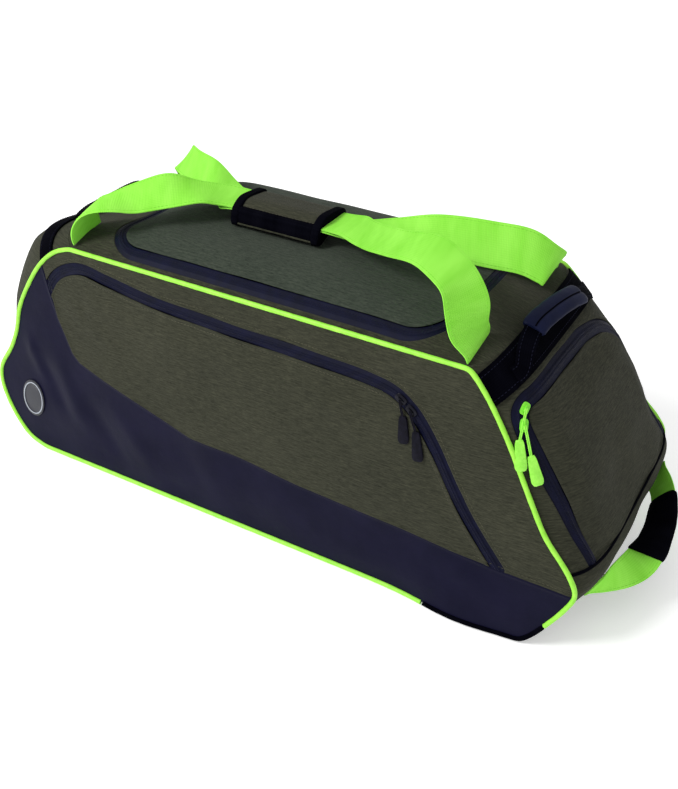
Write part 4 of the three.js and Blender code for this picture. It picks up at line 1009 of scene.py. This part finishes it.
grab_frames = {}
for end in OUT:
    along = slopes[end] / np.linalg.norm(slopes[end])
    end_band(end, along)
    foot, rise, spread, settle, width = grab[end]
    normal = np.cross([0, 1, 0], along) * OUT[end]
    out_share, up_share = grab_rows[end].T
    none = out_share * 0
    ways = np.repeat(along[None], len(none), 0)
    if end == "left":
        ups = np.stack([none - 0.1, none, none + 1], 1)
    else:
        ups = np.stack([-0.2 + 0.7 * out_share, none, none + 1], 1)
        ways = ways + up_share[:, None] * (np.array([-0.93, 0, 0.36]) - ways)
    centres = end_point(end, out_share * spread, foot, False)
    centres = centres + normal * (2 * REST + WEBBING * 1.5 - settle) + up_share[:, None] * rise * ups
    grab_frames[end] = frames_from(curve(centres, 72), curve(ways, 72))
    strip(f"{end}_grab", grab_frames[end], width, black, f"{end}_grab_handle", "dark", 3.0)


def sleeve_on(name, frames, first, last, width, padding, square, material, node_name, dented):
    """A padded sleeve round a strip, between two shares of its frames."""
    count, sides = len(frames[0]), 36
    steps = np.linspace(first * (count - 1), last * (count - 1), 44)
    frames = [looked_up(steps, np.arange(count), values) for values in frames]
    base = round_section(width / 2 + padding, WEBBING / 2 + padding, sides, square)
    place, around = np.linspace(0, 1, 44), np.arange(sides)
    scale = 0.90 + 0.10 * np.clip(np.minimum(place, 1 - place) / 0.05, 0, 1) ** 0.5
    wrinkle = 1 + 0.012 * waves(place[:, None] * 140, around[None] * 5.0, 31, 16, 60)
    section = base[None] * (scale[:, None] * wrinkle)[..., None]
    if dented:
        angle = 2 * math.pi * around / sides
        section[..., 1] *= 1 - 0.30 * np.exp(-((np.abs(angle - math.pi / 2) / 0.12) ** 2))
    rod(name, frames, section, material, (node_name,))


sleeve_on("right_sleeve", grab_frames["right"], 0.31, 0.645, 20, 3.6, 2.4, sleeve_cloth,
          "right_grab_sleeve", True)
centres, across, out = (values[23:46] for values in grab_frames["right"])
rod("sleeve_seam", (centres + out * 3.9, across, out), round_section(0.8, 0.7, 8), binding)

# The carry straps: share of the way to the foot, side, height between top and wrap, way across
strap_rows = {
    ("right", -1): [
        [0.10, -0.030, 1.05, -0.10, 0.99, 0.02], [0.24, -0.160, 1.12, -0.24, 0.97, 0.02],
        [0.42, -0.290, 1.28, -0.15, 0.98, 0.05], [0.62, -0.440, 1.52, -0.10, 0.98, 0.12],
        [0.76, -0.590, 1.54, -0.02, 0.98, 0.12], [0.88, -0.735, 1.40, 0.24, 0.96, 0.05],
        [0.945, -0.820, 1.00, 0.52, 0.84, 0.10], [0.965, -0.825, 0.52, 0.30, 0.94, 0.03],
    ],
    ("left", -1): [
        [0.10, -0.040, 1.05, -0.15, 0.98, 0.02], [0.26, -0.205, 1.20, -0.60, 0.79, 0.10],
        [0.46, -0.400, 1.30, -0.42, 0.72, 0.54], [0.66, -0.590, 1.18, -0.62, 0.66, 0.38],
        [0.77, -0.730, 1.14, -0.70, 0.70, 0.05], [0.87, -0.765, 1.07, -0.50, 0.86, 0.02],
        [0.95, -0.790, 0.90, -0.22, 0.97, 0.10], [0.99, -0.800, 0.64, -0.06, 0.96, 0.24],
    ],
    ("right", 1): [
        [0.10, 0.030, 0.95, -0.10, 0.99, 0.02], [0.27, 0.165, 0.93, -0.30, 0.92, 0.22],
        [0.48, 0.270, 0.96, -0.30, 0.72, 0.60], [0.74, 0.350, 0.94, -0.32, 0.56, 0.74],
        [0.93, 0.410, 0.88, -0.22, 0.62, 0.74], [1.05, 0.480, 0.54, 0.06, 0.94, 0.30],
    ],
    ("left", 1): [
        [0.10, 0.030, 0.95, -0.15, 0.98, 0.02], [0.36, 0.215, 1.17, -0.46, 0.86, 0.22],
        [0.68, 0.400, 1.20, -0.40, 0.85, 0.33], [0.92, 0.600, 1.20, -0.30, 0.93, 0.16],
        [1.00, 0.730, 1.02, -0.14, 0.98, -0.04], [1.01, 0.785, 0.66, -0.02, 0.96, -0.24],
    ],
}
# Where each strap is sewn on: its place, its way across and its way up
feet = {
    ("left", -1): ((-277.400, -105.400, 310.542), (0, 0.953, 0.302), (0, -0.302, 0.953)),
    ("right", -1): ((244.200, -105.400, 305.508), (0, 0.982, 0.187), (0, -0.187, 0.982)),
    ("left", 1): ((-277.400, 105.400, 310.503), (0, 0.953, -0.304), (0, 0.304, 0.953)),
    ("right", 1): ((249.200, 86.400, 306.600), (0, 0.990, -0.138), (0, 0.138, 0.990)),
}
WRAP_MIDDLE = -51
WRAP_HALF = 61


def strap_half(end, side, level):
    table = np.array(strap_rows[(end, side)])
    mouth = np.array([WRAP_MIDDLE + OUT[end] * WRAP_HALF, 0, level])
    start = mouth + np.array([OUT[end] * 8, 0, 0])
    centre, width, up = (np.array(value, float) for value in feet[(end, side)])
    middle = np.stack([
        start[0] + (centre[0] - start[0]) * table[:, 0], table[:, 1] * TOP_WIDTH / 2,
        HIGH + (level - HIGH) * table[:, 2],
    ], 1)
    steps = 12 * (len(table) + 1)
    flat = np.array([0, 1.0, 0])
    lines = ((mouth, start, middle, centre + up * 10, centre), (flat, flat, table[:, 3:], width, width))
    return [np.concatenate([[first], curve(np.concatenate([[near], rows_, [far]]), steps), [last]])
            for first, near, rows_, far, last in lines]


def softened(values, reach=5):
    """Evens out sudden turns along a strip, with its ends kept."""
    before = 2 * values[0] - values[reach:0:-1]
    after = 2 * values[-1] - values[-2:-reach - 2:-1]
    long = np.concatenate([before, values, after])
    kernel = np.hanning(2 * reach + 3)[1:-1]
    kernel /= kernel.sum()
    return np.stack([np.convolve(long[:, axis], kernel, "valid") for axis in range(3)], 1)


for label, side, level in (("front", -1, WRAP_HIGH + STRAP_LAYER), ("back", 1, WRAP_HIGH - STRAP_LAYER)):
    path, ways = (np.concatenate([left[::-1], right]) for left, right in zip(
        strap_half("left", side, level), strap_half("right", side, level)))
    run = run_of(path)
    ways = looked_up(np.linspace(0, run[-1], 260), run, ways)
    centres, across, out = frames_from(softened(even(path, 260)), softened(ways), True)
    strip(f"{label}_carry", (centres, softened(across), softened(out)), CARRY_WIDTH, lime,
          f"carry_strap_{label}", "lime", 3.5)

# The wrap round both straps: outlines in (across, up) pairs

wrap_outline = [
    [29.5, -7.5], [31.2, -2], [28.6, 3.8], [12, 7.4], [-8, 9.6], [-14, 9.0], [-20, 6.4], [-24.4, 2.4],
    [-26.0, -1.2], [-25.0, -4.4], [-12, -9.4], [14, -9],
]
binding_outline = [
    [31, -8], [33, -2], [30.5, 5.6], [13, 9.6], [-8, 11.6], [-15, 10.8], [-23.5, 7.2], [-30.5, 1.6],
    [-34.2, -8.0], [-34.6, -15.6], [-30, -18.8], [-12, -13.4],
]
# A black band along the wrap's underside: partly its real black edging, partly painted shade where the wrap's
# underside lies in shadow
edging_and_shade_outline = [
    [-22.6, 4.2], [-28.9, 3.2], [-31.8, -3.4], [-33.2, -16.4], [-29, -18.2], [-16, -14.6], [8, -12.4],
    [16, -10.6], [12, -9.6], [-10, -9.8], [-19, -4.4],
]
edge_outline = [[-33.6, -13.0], [-34.0, -15.0], [-32.9, -15.6], [-32.2, -13.2]]


def wrap_stretch(name, x_from, x_to, outline, sides, material, nodes=(), puff=0.0):
    outline = np.array(outline)
    around = np.concatenate([outline[-3:], outline, outline[:3]])
    ring = even(curve(around, 12 * (len(around) - 1))[36:36 + 12 * len(outline) + 1], sides + 1)[:-1]
    count = max(int((x_to - x_from) / 2.2), 8)
    x, place = np.linspace(x_from, x_to, count), np.linspace(0, 1, count)
    frames = frames_from(np.stack([x, x * 0, x * 0 + WRAP_HIGH], 1), np.repeat([[0, 1.0, 0]], count, 0))
    close = np.clip(np.minimum(place, 1 - place) / 0.04, 0, 1) ** 0.5
    scale = 0.955 + 0.045 * close + puff * np.sin(math.pi * place) ** 0.8
    wrinkle = 1 + 0.006 * waves(place[:, None] * (x_to - x_from), np.arange(sides)[None] * 3.2, 41, 14, 60)
    section = ring[None] * (scale[:, None] * wrinkle)[..., None]
    return rod(name, frames, section, material, nodes), ring, section, frames


wrap, ring, section, (centres, across, out) = wrap_stretch(
    "wrap", -101.6, -0.4, wrap_outline, 64, olive, ("carry_wrap",), 0.02)
for index in (int(np.argmax(ring[:, 1])), int(np.argmin(ring[:, 0])) - 3):
    line = centres + across * section[:, index, :1] + out * section[:, index, 1:]
    stitches_on(line, np.repeat([[0, -0.6, 0.8]], len(line), 0), "olive")
for label, x_from, x_to in (("left", -112, -101.2), ("right", -0.8, 10)):
    wrap_stretch(f"{label}_binding", x_from, x_to, binding_outline, 64, binding,
                 (f"wrap_binding_{label}",))
# The black underside of the wrap: real edging plus painted shade beneath the wrap
wrap_stretch("wrap_edging_and_shade", -110, 8, edging_and_shade_outline, 40, binding)
wrap_stretch("wrap_edge", -108, 6, edge_outline, 16, olive)

# The haul loop and its grip: side, reach from the end and turn in degrees

HAUL_X, HAUL_Y, HAUL_Z = 404, 118, 61
HAUL_WIDTH = 38
HAUL_GRIP = (-42.5, 68.5)
haul_rows = np.array([
    [-1, 2.4, -25], [-0.94, 5, -20], [-0.85, 12, -2], [-0.68, 25, 28], [-0.52, 33, 52], [-0.36, 36.5, 86],
    [-0.10, 38, 115], [0.18, 36, 127], [0.40, 31, 135], [0.58, 26, 144], [0.75, 18, 150], [0.92, 6, 153],
    [1, 2.4, 153],
])
centres = [(HAUL_X + reach, side * HAUL_Y, HAUL_Z - 1.5 * abs(side)) for side, reach, turn in haul_rows]
turns = np.radians(haul_rows[:, 2])
widths = np.stack([-np.sin(turns), turns * 0, np.cos(turns)], 1)
haul = frames_from(curve(centres, 144), curve(widths, 144), True)
strip("haul_loop", haul, HAUL_WIDTH, lime, "haul_strap", "lime", 3.5)
grip_from, grip_to = np.interp(HAUL_GRIP, haul[0][:, 1], np.linspace(0, 1, len(haul[0])))
sleeve_on("haul_sleeve", haul, grip_from, grip_to, 34, 4, 2.6, binding, "haul_grip", False)

# The badge: a plain oval with a raised rim

BADGE_X, BADGE_Z = -354.0, 75.0
BADGE_HALF_WIDE, BADGE_HALF_HIGH = 19, 26
theta = np.linspace(0, 2 * math.pi, 65)[:-1]


def badge_point(reach, high, angle=theta):
    x = BADGE_X + BADGE_HALF_WIDE * reach * np.cos(angle)
    z = BADGE_Z + BADGE_HALF_HIGH * reach * np.sin(angle)
    return face(-1, x, z) + np.array([0, -1.0, 0]) * high


badge_rings = [(1.0, 0.4), (1.0, 1.7), (0.96, 2.1), (0.86, 2.1), (0.83, 1.6), (0.55, 1.9), (0.25, 2.05)]
points = [badge_point(reach, high) for reach, high in badge_rings]
points += [badge_point(0, high, np.zeros(1)) for high in (2.1, 0.3)]
points = np.concatenate(points)
size, last = len(theta), (len(badge_rings) - 1) * len(theta)
faces = ring_faces(len(badge_rings), size)
for index in range(size):
    after = (index + 1) % size
    faces += [[last + index, last + after, last + size], [after, index, last + size + 1]]
parts = Parts()
parts.add(points, points[:, [0, 2]], faces)
parts.make("badge_oval", badge_rubber, ("badge",))
centres = badge_point(0.86, 2.2)
along = unit(np.roll(centres, -1, 0) - np.roll(centres, 1, 0))
out = np.repeat([[0, -1.0, 0]], size, 0)
rod("badge_ring", (centres, np.cross(out, along), out), round_section(0.8, 0.5, 8), badge_rim,
    closed=True)


# Sliders and pulls

def basis_at(ground, point, outward, wish):
    """A frame on the cloth: centre, across, along and out."""
    a, b = point
    slope_a, slope_b = ground(a + 0.5, b) - ground(a - 0.5, b), ground(a, b + 0.5) - ground(a, b - 0.5)
    normal = unit(np.cross(slope_a, slope_b))
    normal = -normal if normal @ outward < 0 else normal
    along = unit(wish - normal * (wish @ normal))
    return ground(a, b), np.cross(along, normal), along, normal


TAB_WIDTH = 13
TAB_THICK = 3
ROPE_RADIUS = 0.75
slider_outline = round_section(4.5, 7, 24, 3.4)


def slider(name, basis, material, node_name):
    body = Parts()
    body.plate(*basis, slider_outline, 1.2, 3.0)
    body.plate(*basis, slider_outline * np.array([0.30, 0.62]), 3.1, 4.9, 0.5)
    body.make(name, material, (node_name,))


def pull_outline(length, width, taper):
    """A tab that widens towards its rounded foot."""
    wide = width / 2
    half = [(wide * taper * 0.8, 0), (wide * taper, 1.5), (wide * taper + 0.8, 5), (wide * 0.92, length * 0.6),
            (wide, length - 6), (wide - 0.4, length - 3), (wide - 1.6, length - 0.8), (wide - 3.2, length)]
    return half + [(-a, b) for a, b in half[::-1]]


def slider_set(label, table, line, ground, outward, lift_way, finishes):
    """Sliders, each with its place, its tab's top and foot and how high the foot lies."""
    for index, (wished, tab_from, tab_to, lift_to) in enumerate(table, 1):
        step = int(np.argmin(np.linalg.norm(line - wished, axis=1)))
        way = line[min(step + 1, len(line) - 1)] - line[max(step - 1, 0)]
        basis = basis_at(ground, line[step], outward, lift_way(*way))
        slider(f"{label}_runner_{index}", basis, finishes[0], f"{label}_slider_{index}")
        normal = basis_at(ground, tab_from, outward, lift_way(0, -1))[3]
        first = ground(*tab_from) + normal * 2.4
        down = ground(*tab_to) + normal * lift_to - first
        length = np.linalg.norm(down)
        down /= length
        normal = unit(normal - down * (normal @ down))
        cross = np.cross(down, normal)
        tab = Parts()
        tab.plate(first, cross, down, normal, pull_outline(length, TAB_WIDTH, 0.62),
                  -TAB_THICK / 2, TAB_THICK / 2, 0.9)
        top = basis[0] + basis[3] * 5.3
        middle = (top + first) / 2 + normal * 1.6
        share = np.linspace(0, 1, 16)[:, None]
        path = (1 - share) ** 2 * top + 2 * share * (1 - share) * middle + share**2 * (first + down * 2.5)
        for offset in (-0.8, 0.8):
            rope = frames_from(path + offset * cross, np.repeat(cross[None], 16, 0))
            tab.tube(*rope, round_section(ROPE_RADIUS, ROPE_RADIUS, 8))
        tab.make(f"{label}_tab_{index}", finishes[1], (f"{label}_pull_{index}",))


slider_set("front", [((184, 250), (185, 227), (190, 196), 2.4), ((194, 238), (202, 214), (209, 181), 2.4)],
           pocket, lambda a, b: face(-1, a, b, False), np.array([0, -1.0, 0]), lambda a, b: np.array([a, 0, b]),
           (slider_metal, pull_rubber, "slider", "pull"))
slider_set("end", [((-122, 263.6), (-137.0, 233.5), (-146.5, 203.5), 4.6),
                   ((-131, 246.8), (-136.2, 218.0), (-142.0, 189.5), 4.0)],
           end_zip, lambda a, b: end_place("right", a, b, False), np.array([1.0, 0, 0]),
           lambda a, b: np.array([0, a, b]), (lime_metal, lime_rubber, "lime_slider", "lime_pull"))
LID_SLIDER_GAP = 16
basis = basis_at(lambda a, b: top_place(a, b, False), (lid_left, lid_back - LID_SLIDER_GAP),
                 np.array([0, 0, 1.0]), np.array([0, 1.0, 0]))
slider("lid_runner", basis, slider_metal, "lid_slider")

# The base board keeps its solid, under its own cloth

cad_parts["base_panel"].data.materials.clear()
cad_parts["base_panel"].data.materials.append(base_cloth)

# Thread

for rim_line, side in (
    (sideways(zip_outer, SEAM_STITCH), -1), (sideways(zip_inner, -SEAM_STITCH), -1),
    (sideways(seam_run, SEAM_STITCH), -1), (sideways(seam_run, SEAM_STITCH), 1),
):
    line = even(rim_line, 400)
    stitches_on(face(side, line[:, 0], line[:, 1]) + np.array([0, side * 0.1, 0]),
                np.repeat([[0, side * 1.0, 0]], 400, 0), "olive")

THREAD_RADIUS = 0.42
THREAD_LIFT = 0.12
for kind, stitches in stitch_lines.items():
    parts = Parts()
    for stitch in stitches:
        across = unit(np.cross(unit(stitch[2][0] - stitch[0][0]), stitch[1][1]))
        points = []
        for (point, up), size in zip(stitch, (0.45, 1.0, 0.45)):
            for way in (across, up, -across, -up):
                points.append(point + way * THREAD_RADIUS * size + up * THREAD_LIFT * size)
        parts.add(points, np.array(points)[:, :2], [[0, 3, 2, 1], [8, 9, 10, 11], *ring_faces(3, 4)])
    parts.make(f"{kind}_stitches", thread[kind])

# Floor and studio light

floor_mesh = bpy.data.meshes.new("floor")
floor_mesh.from_pydata([(-60, -60, 0), (60, -60, 0), (60, 60, 0), (-60, 60, 0)], [], [(0, 1, 2, 3)])
floor = bpy.data.objects.new("floor", floor_mesh)
bpy.context.scene.collection.objects.link(floor)
floor_mesh.materials.append(Finish(
    "floor", base_color=(1, 1, 1, 1), roughness=0.9, gloss=0.1, emission_color=(1, 1, 1, 1),
    emission_strength=0.35,
).material)

world = bpy.data.worlds.new("studio")
bpy.context.scene.world = world
world.use_nodes = True
background = world.node_tree.nodes["Background"]
background.inputs["Color"].default_value = (1, 1, 1, 1)
background.inputs["Strength"].default_value = 0.62

light = bpy.data.lights.new("key", "AREA")
light.shape = "DISK"
light.size = 0.9
light.energy = 46
key = bpy.data.objects.new("key", light)
key_at, key_aim = Vector((-1.1, -1.5, 2.0)), Vector((0, 0, 0.15))
key_turn = (key_aim - key_at).to_track_quat("-Z", "Y").to_matrix().to_4x4()
key.matrix_world = Matrix.Translation(key_at) @ key_turn
bpy.context.scene.collection.objects.link(key)
